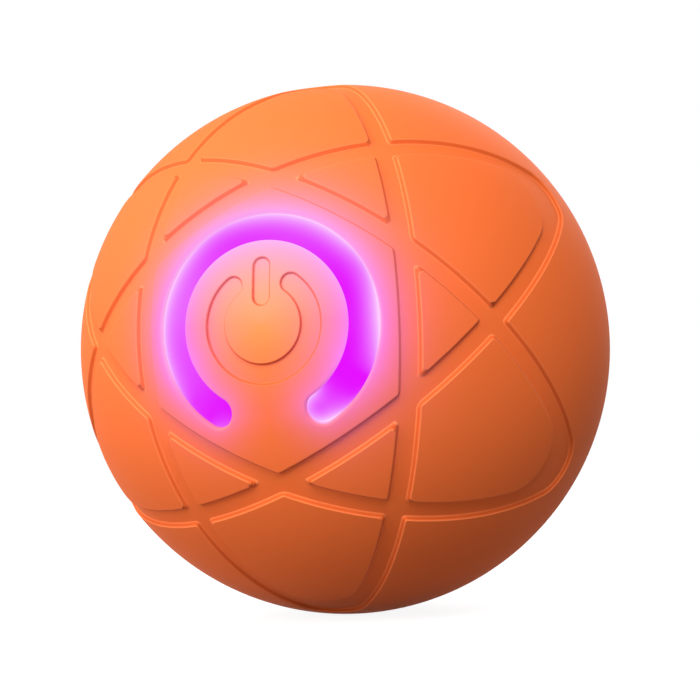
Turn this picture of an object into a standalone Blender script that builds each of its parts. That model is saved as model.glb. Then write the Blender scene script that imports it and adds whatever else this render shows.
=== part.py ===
"""Interactive dog ball: a self-rolling toy ball in a soft grooved cover.

All lengths are in metres and all angles in degrees. The origin is the ball's centre, the button
faces -Y and +Z is up. An azimuth runs from +X towards +Z, as seen from the button's side.
"""

import math

import bmesh
import bpy
from mathutils import Matrix, Vector

# The ball and its layers
BALL_RADIUS = 0.040
COVER_THICKNESS = 0.003
SHELL_THICKNESS = 0.0022
CLEARANCE = 0.0003
RUNNING_GAP = 0.001
OVERRUN = 0.002
RIM_WIDTH = 0.0034
RIM_DEPTH = 0.004
SEAL_WIDTH = 0.0009
SEAL_DEPTH = 0.0011

# Grooves: three closed loops round the button, each a pair of nearly straight sides with round ends
GROOVE_WIDTH = 0.0027
GROOVE_DEPTH = 0.00055
GROOVE_WALL_RUN = 0.0004
GROOVE_OUTER_CORNER = 0.00495
GROOVE_INNER_CORNER = 0.00655
LOOP_TILT = 32.15
LOOP_SIDE_SHIFT = 5.10
LOOP_AZIMUTHS = (0, 60, 120)

# Light ring and the button inside it
RING_INNER_RADIUS = 0.011
RING_WIDTH = 0.0039
RING_GAP_AZIMUTH = -90
RING_GAP_HALF_ANGLE = 33
LIGHT_RECESS = 0.0005
COLLAR_WALL = 0.0012
FLANGE_THICKNESS = 0.001
PAD_THICKNESS = 0.003
PRESS_TRAVEL = 0.0008

# Power symbol sunk into the button
ICON_DEPTH = 0.00045
ICON_RING_INNER_RADIUS = 0.00515
ICON_STROKE = 0.00255
ICON_GAP_HALF_ANGLE = 37
ICON_BAR_WIDTH = 0.0022
ICON_BAR_BOTTOM = 0.0025
ICON_BAR_TOP = 0.0088

# Button works
ACTUATOR_RADIUS = 0.0095
ACTUATOR_THICKNESS = 0.0012
STEM_RADIUS = 0.002
GUIDE_WALL = 0.0012
GUIDE_WEB_THICKNESS = 0.0012
SWITCH_WIDTH = 0.006
SWITCH_HEIGHT = 0.0035
PLUNGER_RADIUS = 0.00175
PLUNGER_HEIGHT = 0.0012

# Main board
BOARD_DEPTH = 0.0134
BOARD_THICKNESS = 0.0016
BOARD_EDGE_GAP = 0.0009
BOARD_SCREW_INSET = 0.0026
BOARD_BOSS_RADIUS = 0.0022
BOARD_SCREW_AZIMUTHS = (90, 210, 330)
LEAD_SPACE = 0.0024
LED_WIDTH = 0.0028
LED_LENGTH = 0.0035
LED_HEIGHT = 0.0019
LED_COUNT = 6
CHIP_HEIGHT = 0.0012
CONTROL_CHIP = (0.008, 0.006)
DRIVER_CHIP = (0.005, 0.004)
SENSOR = (0.004, 0.004)

# Chassis plate, which carries the motor, the gears, the battery and the charging port
CHASSIS_THICKNESS = 0.002
CHASSIS_LIP = 0.0008
POST_RADIUS = 0.003
POST_AZIMUTHS = (30, 150, 270)
COLUMN_RADIUS = 0.0033
COLUMN_AZIMUTHS = (50, 130, 230, 310)
COLUMN_SEAT = 0.008
WELL_RADIUS = 0.0027

# Screws
SHELL_SCREW_RADIUS = 0.0013
SHELL_SCREW_LENGTH = 0.015
SMALL_SCREW_RADIUS = 0.0009
SMALL_SCREW_LENGTH = 0.0045
HEAD_HEIGHT_SHARE = 1.1
HEAD_RADIUS_SHARE = 1.8

# Motor and its bracket
MOTOR_WIDTH = 0.012
MOTOR_HEIGHT = 0.010
MOTOR_LENGTH = 0.015
MOTOR_CORNER = 0.0035
MOTOR_BOSS_RADIUS = 0.002
MOTOR_BOSS_LENGTH = 0.0012
MOTOR_SHAFT_RADIUS = 0.00075
MOTOR_BORE_DEPTH = 0.0025
BRACKET_WALL = 0.0012
BRACKET_LENGTH = 0.005
EAR_THICKNESS = 0.0015
EAR_RADIUS = 0.0026

# Gears, with stub teeth
GEAR_MODULE = 0.0006
PRESSURE_ANGLE = 25
SMALL_TEETH = 10
LARGE_TEETH = 30
TOOTH_BACKLASH = 0.00012
ADDENDUM_SHARE = 0.8
DEDENDUM_SHARE = 1.1
GEAR_WIDTH = 0.0022
GEAR_STEP = 0.0004
AXLE_RADIUS = 0.001
GEAR_AZIMUTHS = (150, 30, -30)
LID_WALL = 0.0012
LID_THICKNESS = 0.0015
LID_EAR_AZIMUTHS = (-45, 90)

# Output shaft and swinging weight
SHAFT_RADIUS = 0.0015
BUSH_WALL = 0.0014
BUSH_LENGTH = 0.005
POST_WALL = 0.0015
WEIGHT_THICKNESS = 0.011
WEIGHT_HUB_RADIUS = 0.005
WEIGHT_SWEEP = 150
GRUB_RADIUS = 0.0012
GRUB_LENGTH = 0.0028

# Battery cell and its cradle
CELL_RADIUS = 0.0052
CELL_LENGTH = 0.044
CELL_HEIGHT = -0.0132
CELL_TIP_RADIUS = 0.002
CELL_TIP_LENGTH = 0.0005
CRADLE_WALL = 0.0014
CRADLE_LENGTH = 0.028

# Charging port on the side of the ball
PORT_WIDTH = 0.013
PORT_HEIGHT = 0.0074
SOCKET_WIDTH = 0.0089
SOCKET_HEIGHT = 0.0032
SOCKET_WALL = 0.0003
SOCKET_LENGTH = 0.0073
SOCKET_PROUD = 0.0012
TONGUE_WIDTH = 0.0066
TONGUE_HEIGHT = 0.0007
TONGUE_LENGTH = 0.0045
CHARGE_BOARD_LENGTH = 0.0115
CHARGE_BOARD_WIDTH = 0.015
CHARGE_BOARD_THICKNESS = 0.0012

# Leads
LEAD_RADIUS = 0.00045
CABLE_RADIUS = 0.0006

# Facets of round shapes
BALL_STEPS = 32
BALL_RINGS = 8
ARC_STEPS = 24
ROUND_STEPS = 16
SCREW_STEPS = 8
PILLAR_STEPS = 10
SIDE_POINTS = 7
CORNER_POINTS = 4
SMOOTH_ANGLE = 35

# Places worked out from the sizes above, along Y unless named otherwise
RING_PITCH = 90 / BALL_RINGS
FACET_SAG = BALL_RADIUS * (1 - math.cos(math.radians(RING_PITCH / 2))) * 2
HALF_GAP = CLEARANCE / 2
COVER_INNER_RADIUS = BALL_RADIUS - COVER_THICKNESS
SHELL_OUTER_RADIUS = COVER_INNER_RADIUS - CLEARANCE
SHELL_INNER_RADIUS = SHELL_OUTER_RADIUS - SHELL_THICKNESS
RIM_INNER_RADIUS = SHELL_OUTER_RADIUS - RIM_WIDTH
SEAL_RADIUS = SHELL_OUTER_RADIUS - RIM_WIDTH / 2
COLUMN_RING_RADIUS = RIM_INNER_RADIUS - COLUMN_RADIUS
POST_RING_RADIUS = COLUMN_RING_RADIUS - COLUMN_RADIUS
CHASSIS_RADIUS = POST_RING_RADIUS + POST_RADIUS + CHASSIS_LIP
WEIGHT_RADIUS = COLUMN_RING_RADIUS - COLUMN_RADIUS - RUNNING_GAP
BOARD_FRONT = -BALL_RADIUS + BOARD_DEPTH
BOARD_REAR = BOARD_FRONT + BOARD_THICKNESS
MOTOR_BACK = BOARD_REAR + LEAD_SPACE
MOTOR_FRONT = MOTOR_BACK + MOTOR_LENGTH
CHASSIS_FRONT = MOTOR_FRONT + CLEARANCE
CHASSIS_REAR = CHASSIS_FRONT + CHASSIS_THICKNESS
BOARD_RADIUS = math.sqrt(SHELL_INNER_RADIUS**2 - BOARD_FRONT**2) - BOARD_EDGE_GAP
BOARD_SCREW_RING = BOARD_RADIUS - BOARD_SCREW_INSET
RING_MID_RADIUS = RING_INNER_RADIUS + RING_WIDTH / 2
RING_OUTER_RADIUS = RING_INNER_RADIUS + RING_WIDTH
COLLAR_RADIUS = RING_OUTER_RADIUS + COLLAR_WALL
LED_FRONT = BOARD_FRONT - CLEARANCE - LED_HEIGHT
GUIDE_REAR = LED_FRONT - CLEARANCE
FLANGE_FRONT = GUIDE_REAR - FLANGE_THICKNESS
COLLAR_END = FLANGE_FRONT - CLEARANCE
PAD_REAR = -BALL_RADIUS + PAD_THICKNESS
ACTUATOR_FRONT = PAD_REAR + CLEARANCE
ACTUATOR_REAR = ACTUATOR_FRONT + ACTUATOR_THICKNESS
SWITCH_FRONT = BOARD_FRONT - CLEARANCE - SWITCH_HEIGHT
PLUNGER_FRONT = SWITCH_FRONT - PLUNGER_HEIGHT
STEM_REAR = PLUNGER_FRONT - CLEARANCE
WEB_FRONT = ACTUATOR_REAR + PRESS_TRAVEL + CLEARANCE
SMALL_PITCH_RADIUS = GEAR_MODULE * SMALL_TEETH / 2
LARGE_PITCH_RADIUS = GEAR_MODULE * LARGE_TEETH / 2
GEAR_DISTANCE = SMALL_PITCH_RADIUS + LARGE_PITCH_RADIUS
LARGE_TIP_RADIUS = LARGE_PITCH_RADIUS + GEAR_MODULE * ADDENDUM_SHARE
SMALL_TIP_RADIUS = SMALL_PITCH_RADIUS + GEAR_MODULE * ADDENDUM_SHARE
FIRST_PLANE = CHASSIS_REAR + CLEARANCE * 2
SECOND_PLANE = FIRST_PLANE + GEAR_WIDTH + GEAR_STEP
THIRD_PLANE = SECOND_PLANE + GEAR_WIDTH + GEAR_STEP
GEARS_END = THIRD_PLANE + GEAR_WIDTH
LID_FRONT = GEARS_END + GEAR_STEP
LID_REAR = LID_FRONT + LID_THICKNESS
WEIGHT_FRONT = LID_REAR + RUNNING_GAP
WEIGHT_REAR = WEIGHT_FRONT + WEIGHT_THICKNESS
REAR_POST_FRONT = WEIGHT_REAR + RUNNING_GAP
BUSH_RADIUS = SHAFT_RADIUS + CLEARANCE + BUSH_WALL
BUSH_SEAT_RADIUS = BUSH_RADIUS + CLEARANCE
REAR_POST_RADIUS = BUSH_SEAT_RADIUS + POST_WALL
CELL_DEPTH = CHASSIS_FRONT - CLEARANCE * 2 - CRADLE_WALL - CELL_RADIUS
CHARGE_BOARD_REAR = CHASSIS_FRONT - CLEARANCE
CHARGE_BOARD_FRONT = CHARGE_BOARD_REAR - CHARGE_BOARD_THICKNESS
PORT_DEPTH = CHARGE_BOARD_FRONT - CLEARANCE - SOCKET_HEIGHT / 2
SOCKET_MOUTH = -math.sqrt(SHELL_INNER_RADIUS**2 - PORT_DEPTH**2) - SOCKET_PROUD

# Base colour (linear), metallic value and roughness of each material
FINISHES = {
    "cover_orange": ((0.87, 0.18, 0.035), 0.0, 0.55),
    "light_magenta": ((0.80, 0.02, 1.0), 0.0, 0.30),
    "shell_white": ((0.80, 0.80, 0.78), 0.0, 0.40),
    "frame_black": ((0.03, 0.03, 0.035), 0.0, 0.45),
    "seal_grey": ((0.20, 0.20, 0.21), 0.0, 0.70),
    "board_green": ((0.02, 0.16, 0.06), 0.0, 0.35),
    "chip_black": ((0.015, 0.015, 0.016), 0.0, 0.50),
    "led_white": ((0.90, 0.88, 0.80), 0.0, 0.35),
    "steel": ((0.56, 0.56, 0.55), 1.0, 0.30),
    "weight_steel": ((0.42, 0.42, 0.43), 1.0, 0.45),
    "brass": ((0.75, 0.55, 0.25), 1.0, 0.35),
    "gear_cream": ((0.85, 0.80, 0.66), 0.0, 0.40),
    "cell_blue": ((0.03, 0.12, 0.45), 0.0, 0.35),
    "lead_red": ((0.60, 0.02, 0.02), 0.0, 0.45),
    "lead_black": ((0.02, 0.02, 0.02), 0.0, 0.45),
}


def material(name):
    """The named material, made the first time that it is asked for."""
    made = bpy.data.materials.get(name)
    if made:
        return made
    colour, metallic, roughness = FINISHES[name]
    made = bpy.data.materials.new(name)
    made.use_nodes = True
    shader = made.node_tree.nodes["Principled BSDF"]
    shader.inputs["Base Color"].default_value = (*colour, 1)
    shader.inputs["Metallic"].default_value = metallic
    shader.inputs["Roughness"].default_value = roughness
    made.diffuse_color = (*colour, 1)
    return made


def polar(radius, azimuth):
    """(x, z) at this distance from the ball's main axis."""
    angle = math.radians(azimuth)
    return radius * math.cos(angle), radius * math.sin(angle)


def circle(radius, centre=(0, 0), steps=ROUND_STEPS):
    """The corners of a round outline."""
    return arc(radius, 0, 360 - 360 / steps, steps - 1, centre)


def arc(radius, start, end, steps, centre=(0, 0)):
    """Points along an arc between two angles."""
    turn = (end - start) / steps
    angles = [math.radians(start + turn * i) for i in range(steps + 1)]
    return [(centre[0] + radius * math.cos(a), centre[1] + radius * math.sin(a)) for a in angles]


def rounded_box(width, height, corner, centre=(0, 0), steps=CORNER_POINTS):
    """The outline of a rectangle with round corners."""
    points = []
    for quarter, (right, up) in enumerate(((1, 1), (-1, 1), (-1, -1), (1, -1))):
        middle = (centre[0] + right * (width / 2 - corner), centre[1] + up * (height / 2 - corner))
        points += arc(corner, 90 * quarter, 90 * quarter + 90, steps, middle)
    return points


def hull(points):
    """The convex outline round these points, anticlockwise."""
    def half(ordered):
        kept = []
        for point in ordered:
            while len(kept) > 1 and turns_right(kept[-2], kept[-1], point):
                kept.pop()
            kept.append(point)
        return kept[:-1]

    def turns_right(a, b, c):
        return (b[0] - a[0]) * (c[1] - a[1]) <= (b[1] - a[1]) * (c[0] - a[0])

    ordered = sorted(points)
    return half(ordered) + half(ordered[::-1])


def meridian(radius, start, end):
    """(radius from the axis, y) points of a sphere, by angle from its front pole.

    All spheres have their rings at the same angles, so that the walls between them are even.
    """
    low, high = sorted((start, end))
    rings = [i * RING_PITCH for i in range(1, BALL_RINGS * 2)]
    angles = [low, *[ring for ring in rings if low < ring < high], high]
    if start > end:
        angles.reverse()
    return [(radius * math.sin(math.radians(a)), -radius * math.cos(math.radians(a))) for a in angles]


def extruded(outline, start, end, axis=1):
    """A bar with this outline, from start to end along an axis: 0 is X, 1 is Y and 2 is Z."""
    bm = bmesh.new()
    corners = []
    for point in outline:
        place = list(point)
        place.insert(axis, start)
        corners.append(bm.verts.new(place))
    face = bm.faces.new(corners)
    made = bmesh.ops.extrude_face_region(bm, geom=[face])["geom"]
    shift = Vector((0, 0, 0))
    shift[axis] = end - start
    raised = [item for item in made if isinstance(item, bmesh.types.BMVert)]
    bmesh.ops.translate(bm, vec=shift, verts=raised)
    return bm


def turned(profile, steps=ROUND_STEPS):
    """A solid turned about Y from the (radius, y) corners of its section."""
    bm = bmesh.new()
    corners = [bm.verts.new((radius, y, 0)) for radius, y in profile]
    edges = []
    for a, b in zip(corners, corners[1:] + corners[:1]):
        if a.co.x > 0 or b.co.x > 0:
            edges.append(bm.edges.new((a, b)))
    bmesh.ops.spin(
        bm, geom=corners + edges, cent=(0, 0, 0), axis=(0, 1, 0), angle=math.tau, steps=steps
    )
    bmesh.ops.remove_doubles(bm, verts=bm.verts, dist=CLEARANCE / 1000)
    return bm


def block(low, high):
    """A plain box between two corners."""
    bm = bmesh.new()
    bmesh.ops.create_cube(bm, size=1)
    size = [b - a for a, b in zip(low, high)]
    middle = [(a + b) / 2 for a, b in zip(low, high)]
    bmesh.ops.transform(
        bm, matrix=Matrix.Translation(middle) @ Matrix.Diagonal((*size, 1)), verts=bm.verts
    )
    return bm


def joined(shapes):
    """One set of separate shapes, for cutting or joining in one go."""
    whole = bmesh.new()
    for bm in shapes:
        mesh = bpy.data.meshes.new("shape")
        bm.to_mesh(mesh)
        bm.free()
        whole.from_mesh(mesh)
        bpy.data.meshes.remove(mesh)
    return whole


def shaped(bm, name="shape"):
    """An object with the shape's mesh, its faces pointing out."""
    bmesh.ops.recalc_face_normals(bm, faces=bm.faces)
    mesh = bpy.data.meshes.new(name)
    bm.to_mesh(mesh)
    bm.free()
    made = bpy.data.objects.new(name, mesh)
    bpy.context.collection.objects.link(made)
    return made


def combine(target, tool, operation):
    """Changes the target's mesh by a Boolean with a tool object, which is used up."""
    modifier = target.modifiers.new(operation.title(), "BOOLEAN")
    modifier.operation = operation
    modifier.object = tool
    graph = bpy.context.evaluated_depsgraph_get()
    graph.update()
    result = bpy.data.meshes.new_from_object(target.evaluated_get(graph))
    target.modifiers.remove(modifier)
    target.data = result
    bpy.data.objects.remove(tool)
    return target


def cut(target, *shapes):
    for bm in shapes:
        combine(target, shaped(bm), "DIFFERENCE")
    return target


def add(target, *shapes):
    for bm in shapes:
        combine(target, shaped(bm), "UNION")
    return target


def keep(target, bm):
    return combine(target, shaped(bm), "INTERSECT")


def finish(made, name, finish_name, location=(0, 0, 0)):
    """Names the piece, gives it its material and place, and shades its round faces smooth."""
    made.name = name
    made.data.name = name
    made.data.materials.clear()
    made.data.materials.append(material(finish_name))
    made.data.shade_smooth()
    made.data.set_sharp_from_angle(angle=math.radians(SMOOTH_ANGLE))
    made.location = location
    return made


def loop_edge(offset, corner_radius):
    """One edge of a groove loop, as unit vectors in its own axes: short, long and out of the button.

    Each side is a small circle round a tilted pole, and each end is a smaller circle that touches
    both sides. The offset is the angle by which the edge lies outside the groove's middle.
    """
    tilt = math.radians(LOOP_TILT)
    shift = offset - math.radians(LOOP_SIDE_SHIFT)
    pole = Vector((math.cos(tilt), 0, -math.sin(tilt)))
    nearest = Vector((math.sin(tilt), 0, math.cos(tilt)))
    reach = math.acos(-math.sin(shift - corner_radius) / math.sin(tilt))
    centre = Vector((0, math.sin(reach), math.cos(reach)))
    outward = Vector((0, math.cos(reach), -math.sin(reach)))
    sideways = Vector((1, 0, 0))
    towards = (pole - centre * pole.dot(centre)).normalized()
    start = math.atan2(towards.dot(outward), towards.dot(sideways))
    touch = centre * math.cos(corner_radius) + towards * math.sin(corner_radius)
    sweep = math.atan2(touch.y, touch.dot(nearest))
    quarter = []
    for i in range(SIDE_POINTS):
        turn = sweep * i / SIDE_POINTS
        along = nearest * math.cos(turn) + Vector((0, 1, 0)) * math.sin(turn)
        quarter.append(pole * math.sin(shift) + along * math.cos(shift))
    for i in range(CORNER_POINTS):
        turn = start + (math.pi / 2 - start) * i / CORNER_POINTS
        around = sideways * math.cos(turn) + outward * math.sin(turn)
        quarter.append(centre * math.cos(corner_radius) + around * math.sin(corner_radius))
    tip = centre * math.cos(corner_radius) + outward * math.sin(corner_radius)
    upper = quarter + [tip] + [Vector((-p.x, p.y, p.z)) for p in quarter[:0:-1]]
    return upper + [Vector((-p.x, -p.y, p.z)) for p in upper]


def groove_loop(azimuth):
    """The closed band that one groove loop cuts out of the cover, wider towards the surface."""
    floor = BALL_RADIUS - GROOVE_DEPTH
    rows = []
    for height in (-GROOVE_DEPTH - FACET_SAG, GROOVE_DEPTH * 2):
        spread = GROOVE_WALL_RUN * (height / GROOVE_DEPTH - 1 / 2)
        half = (GROOVE_WIDTH / 2 + spread) / BALL_RADIUS
        outer = (half, (GROOVE_OUTER_CORNER + spread) / BALL_RADIUS)
        inner = (-half, (GROOVE_INNER_CORNER - spread) / BALL_RADIUS)
        rows.append([p * (floor + height) for p in loop_edge(*inner)])
        rows.append([p * (floor + height) for p in loop_edge(*outer)])
    low_inner, low_outer, high_inner, high_outer = rows
    turn = math.radians(azimuth)
    bm = bmesh.new()
    rings = []
    for row in (low_inner, low_outer, high_outer, high_inner):
        places = []
        for p in row:
            x = p.x * math.cos(turn) - p.y * math.sin(turn)
            z = p.x * math.sin(turn) + p.y * math.cos(turn)
            places.append(bm.verts.new((x, -p.z, z)))
        rings.append(places)
    count = len(low_inner)
    for ring, following in zip(rings, rings[1:] + rings[:1]):
        for i in range(count):
            after = (i + 1) % count
            bm.faces.new((ring[i], ring[after], following[after], following[i]))
    return bm


def half_sphere_shell(outer, inner, rings_past):
    """A half sphere's wall, running some rings past the equator so that it can be trimmed."""
    end = 90 + RING_PITCH * rings_past
    return turned(meridian(outer, 0, end) + meridian(inner, end, 0), BALL_STEPS)


def grooved_half():
    """Half of the soft cover with its grooves, its open side facing +Y."""
    floor = BALL_RADIUS - GROOVE_DEPTH
    raised = shaped(half_sphere_shell(BALL_RADIUS, floor - GROOVE_DEPTH / 2, 2))
    for azimuth in LOOP_AZIMUTHS:
        cut(raised, groove_loop(azimuth))
    wall = shaped(half_sphere_shell(floor, COVER_INNER_RADIUS, 1))
    combine(wall, raised, "UNION")
    reach = BALL_RADIUS + OVERRUN
    return cut(wall, block((-reach, -HALF_GAP, -reach), (reach, reach, reach)))


def ring_end(azimuth, half_width, start, end):
    """Points round one end of the light ring's slot, from its outer side (0) to its inner (180)."""
    middle = polar(RING_MID_RADIUS, azimuth)
    return arc(half_width, azimuth + start, azimuth + end, CORNER_POINTS, middle)


def ring_outline(inner, outer, gap_azimuth, half_gap):
    """A C-shaped outline with round ends."""
    first = gap_azimuth + half_gap
    last = gap_azimuth + 360 - half_gap
    middle = (inner + outer) / 2
    half_width = (outer - inner) / 2
    points = arc(outer, first, last, ARC_STEPS)
    points += arc(half_width, last, last + 180, CORNER_POINTS * 2, polar(middle, last))[1:-1]
    points += arc(inner, last, first, ARC_STEPS)
    points += arc(half_width, first + 180, first + 360, CORNER_POINTS * 2, polar(middle, first))[1:-1]
    return points


def tongue_angle(radius):
    """The angle round the slot's end at which it lies this far from the button's axis."""
    half_width = RING_WIDTH / 2
    share = (radius**2 - RING_MID_RADIUS**2 - half_width**2) / (2 * RING_MID_RADIUS * half_width)
    return math.degrees(math.acos(share))


def window_outline(side):
    """The edge of the cover's window (side 1) or of the button's pad (side -1).

    Both follow the light ring's slot, and between its ends they meet along a hairline.
    """
    first = RING_GAP_AZIMUTH + RING_GAP_HALF_ANGLE
    last = RING_GAP_AZIMUTH + 360 - RING_GAP_HALF_ANGLE
    seam = math.hypot(RING_MID_RADIUS, RING_WIDTH / 2) + side * HALF_GAP
    bend = tongue_angle(seam)
    edge = RING_OUTER_RADIUS if side > 0 else RING_INNER_RADIUS
    straight = 0 if side > 0 else 180
    points = arc(edge, first, last, ARC_STEPS)
    points += ring_end(last, RING_WIDTH / 2, straight, bend)[1:]
    begin = math.degrees(math.atan2(*points[-1][::-1])) % 360
    points += arc(seam, begin, RING_GAP_AZIMUTH * 2 + 720 - begin, CORNER_POINTS * 2)[1:-1]
    points += ring_end(first, RING_WIDTH / 2, 360 - bend, 360 - straight)[:-1]
    return points


def port_outline(shrink=0):
    """The charging port's opening, as (y, z) points."""
    width = PORT_WIDTH - shrink * 2
    height = PORT_HEIGHT - shrink * 2
    return rounded_box(height, width, height / 2 - HALF_GAP, (PORT_DEPTH, 0))


def port_opening():
    """What the charging port removes from the cover and the shell."""
    return extruded(port_outline(), -BALL_RADIUS - OVERRUN, -RIM_INNER_RADIUS + OVERRUN * 2, 0)


def covers():
    front = grooved_half()
    rear = bpy.data.objects.new("rear", front.data.copy())
    bpy.context.collection.objects.link(rear)
    rear.data.transform(Matrix.Scale(-1, 4, (0, 1, 0)))
    rear.data.flip_normals()
    window = extruded(window_outline(1), -BALL_RADIUS - OVERRUN, COLLAR_END)
    cut(front, window, port_opening())
    finish(front, "front_cover", "cover_orange")
    finish(rear, "rear_cover", "cover_orange")


def pillars(places, radius, start, end):
    """Round pillars along Y at these (x, z) places."""
    return joined([extruded(circle(radius, place, PILLAR_STEPS), start, end) for place in places])


def ring_of_places(radius, azimuths):
    return [polar(radius, azimuth) for azimuth in azimuths]


def rim_profile(inner_points):
    """The shell's section at the parting plane, from outside to inside, and on along its inner wall."""
    corner = math.sqrt(SHELL_INNER_RADIUS**2 - RIM_DEPTH**2)
    rim = [(RIM_INNER_RADIUS, -HALF_GAP), (RIM_INNER_RADIUS, -RIM_DEPTH), (corner, -RIM_DEPTH)]
    return rim + inner_points


def at_parting(radius):
    """The angle from the pole at which a sphere meets the half shell's parting face."""
    return math.degrees(math.acos(HALF_GAP / radius))


def at_rim(radius):
    """The angle from the pole at which a sphere meets the thicker rim."""
    return math.degrees(math.acos(RIM_DEPTH / radius))


def at_radius(sphere, radius):
    """The angle from the pole at which a sphere is this far from its axis."""
    return math.degrees(math.asin(radius / sphere))


def shell_core():
    """A ball that ends in the middle of the shell's wall, to trim what is joined to the shell."""
    middle = (SHELL_OUTER_RADIUS + SHELL_INNER_RADIUS) / 2
    return turned(meridian(middle, 0, 180), BALL_STEPS)


def fitted_pillars(places, radius, start, end):
    """Pillars that end inside the shell's wall."""
    return keep(shaped(pillars(places, radius, start, end)), shell_core())


def front_shell():
    opening = at_radius(SHELL_OUTER_RADIUS, RING_OUTER_RADIUS)
    outside = meridian(SHELL_OUTER_RADIUS, opening, at_parting(SHELL_OUTER_RADIUS))
    collar = at_radius(SHELL_INNER_RADIUS, COLLAR_RADIUS)
    inside = meridian(SHELL_INNER_RADIUS, at_rim(SHELL_INNER_RADIUS), collar)[1:]
    groove = SEAL_WIDTH / 2 + CLEARANCE
    seat = -HALF_GAP - SEAL_DEPTH
    seal_groove = [
        (SEAL_RADIUS + groove, -HALF_GAP),
        (SEAL_RADIUS + groove, seat),
        (SEAL_RADIUS - groove, seat),
        (SEAL_RADIUS - groove, -HALF_GAP),
    ]
    collar_end = [(COLLAR_RADIUS, COLLAR_END), (RING_OUTER_RADIUS, COLLAR_END)]
    shell = shaped(turned(outside + seal_groove + rim_profile(inside) + collar_end, BALL_STEPS))
    posts = ring_of_places(POST_RING_RADIUS, POST_AZIMUTHS)
    columns = ring_of_places(COLUMN_RING_RADIUS, COLUMN_AZIMUTHS)
    bosses = ring_of_places(BOARD_SCREW_RING, BOARD_SCREW_AZIMUTHS)
    post_top = CHASSIS_FRONT - CLEARANCE
    boss_top = BOARD_FRONT - CLEARANCE
    column_top = -HALF_GAP
    for places, radius, top in (
        (posts, POST_RADIUS, post_top),
        (columns, COLUMN_RADIUS, column_top),
        (bosses, BOARD_BOSS_RADIUS, boss_top),
    ):
        combine(shell, fitted_pillars(places, radius, -BALL_RADIUS, top), "UNION")
    small_hole = SMALL_SCREW_RADIUS + CLEARANCE
    small_depth = SMALL_SCREW_LENGTH + CLEARANCE
    large_hole = SHELL_SCREW_RADIUS + CLEARANCE
    cut(
        shell,
        pillars(posts, small_hole, CHASSIS_REAR - small_depth, post_top + OVERRUN),
        pillars(columns, large_hole, COLUMN_SEAT - SHELL_SCREW_LENGTH - CLEARANCE, OVERRUN),
        pillars(bosses, small_hole, BOARD_REAR - small_depth, boss_top + OVERRUN),
        port_opening(),
    )
    return finish(shell, "front_shell", "shell_white")


def rear_shell():
    outside = meridian(SHELL_OUTER_RADIUS, 0, at_parting(SHELL_OUTER_RADIUS))
    post = at_radius(SHELL_INNER_RADIUS, REAR_POST_RADIUS)
    inside = meridian(SHELL_INNER_RADIUS, at_rim(SHELL_INNER_RADIUS), post)[1:]
    bore_end = REAR_POST_FRONT + BUSH_LENGTH + CLEARANCE
    post_end = [
        (REAR_POST_RADIUS, -REAR_POST_FRONT),
        (BUSH_SEAT_RADIUS, -REAR_POST_FRONT),
        (BUSH_SEAT_RADIUS, -bore_end),
        (0, -bore_end),
    ]
    bm = turned(outside + rim_profile(inside) + post_end, BALL_STEPS)
    bmesh.ops.scale(bm, vec=(1, -1, 1), verts=bm.verts)
    shell = shaped(bm)
    columns = ring_of_places(COLUMN_RING_RADIUS, COLUMN_AZIMUTHS)
    combine(shell, fitted_pillars(columns, COLUMN_RADIUS, HALF_GAP, BALL_RADIUS), "UNION")
    cut(
        shell,
        pillars(columns, WELL_RADIUS, COLUMN_SEAT, BALL_RADIUS),
        pillars(columns, SHELL_SCREW_RADIUS + CLEARANCE, -OVERRUN, COLUMN_SEAT + OVERRUN),
    )
    return finish(shell, "rear_shell", "shell_white")


def seal_ring():
    front = -HALF_GAP - SEAL_DEPTH + CLEARANCE
    outer = SEAL_RADIUS + SEAL_WIDTH / 2
    inner = SEAL_RADIUS - SEAL_WIDTH / 2
    profile = [(outer, front), (outer, -HALF_GAP), (inner, -HALF_GAP), (inner, front)]
    return finish(shaped(turned(profile, BALL_STEPS)), "seal_ring", "seal_grey")


def light_guide():
    """The C-shaped guide that brings light from the board to the surface, with a flange at its foot."""
    inner = RING_INNER_RADIUS + CLEARANCE
    outer = RING_OUTER_RADIUS - CLEARANCE
    face = BALL_RADIUS - LIGHT_RECESS
    angles = (at_radius(face, inner - HALF_GAP), at_radius(face, outer + HALF_GAP))
    section = meridian(face, *angles)
    section += [(outer + HALF_GAP, GUIDE_REAR), (inner - HALF_GAP, GUIDE_REAR)]
    gap = (RING_GAP_AZIMUTH, RING_GAP_HALF_ANGLE)
    guide = shaped(turned(section, BALL_STEPS))
    keep(guide, extruded(ring_outline(inner, outer, *gap), -BALL_RADIUS - OVERRUN, -OVERRUN))
    flange = ring_outline(inner + HALF_GAP, COLLAR_RADIUS, *gap)
    add(guide, extruded(flange, FLANGE_FRONT, GUIDE_REAR - HALF_GAP))
    return finish(guide, "light_guide", "light_magenta")


def power_symbol(floor_radius):
    """The strokes of the power symbol, as cutters that reach down to this sphere."""
    outer = ICON_RING_INNER_RADIUS + ICON_STROKE
    ring = ring_outline(ICON_RING_INNER_RADIUS, outer, 90, ICON_GAP_HALF_ANGLE)
    centre = (0, (ICON_BAR_TOP + ICON_BAR_BOTTOM) / 2)
    length = ICON_BAR_TOP - ICON_BAR_BOTTOM
    bar = rounded_box(ICON_BAR_WIDTH, length, ICON_BAR_WIDTH / 2 - HALF_GAP, centre)
    front = -BALL_RADIUS - OVERRUN
    rear = -floor_radius * math.cos(math.radians(at_radius(floor_radius, RING_OUTER_RADIUS)))
    return joined([extruded(ring, front, rear), extruded(bar, front, rear)])


def cap(radius, rear):
    """A slice of a sphere round the button's axis, with a flat back."""
    reach = at_radius(radius, RING_OUTER_RADIUS)
    points = meridian(radius, 0, reach)
    return turned([*points, (RING_OUTER_RADIUS, rear), (0, rear)], BALL_STEPS)


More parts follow.
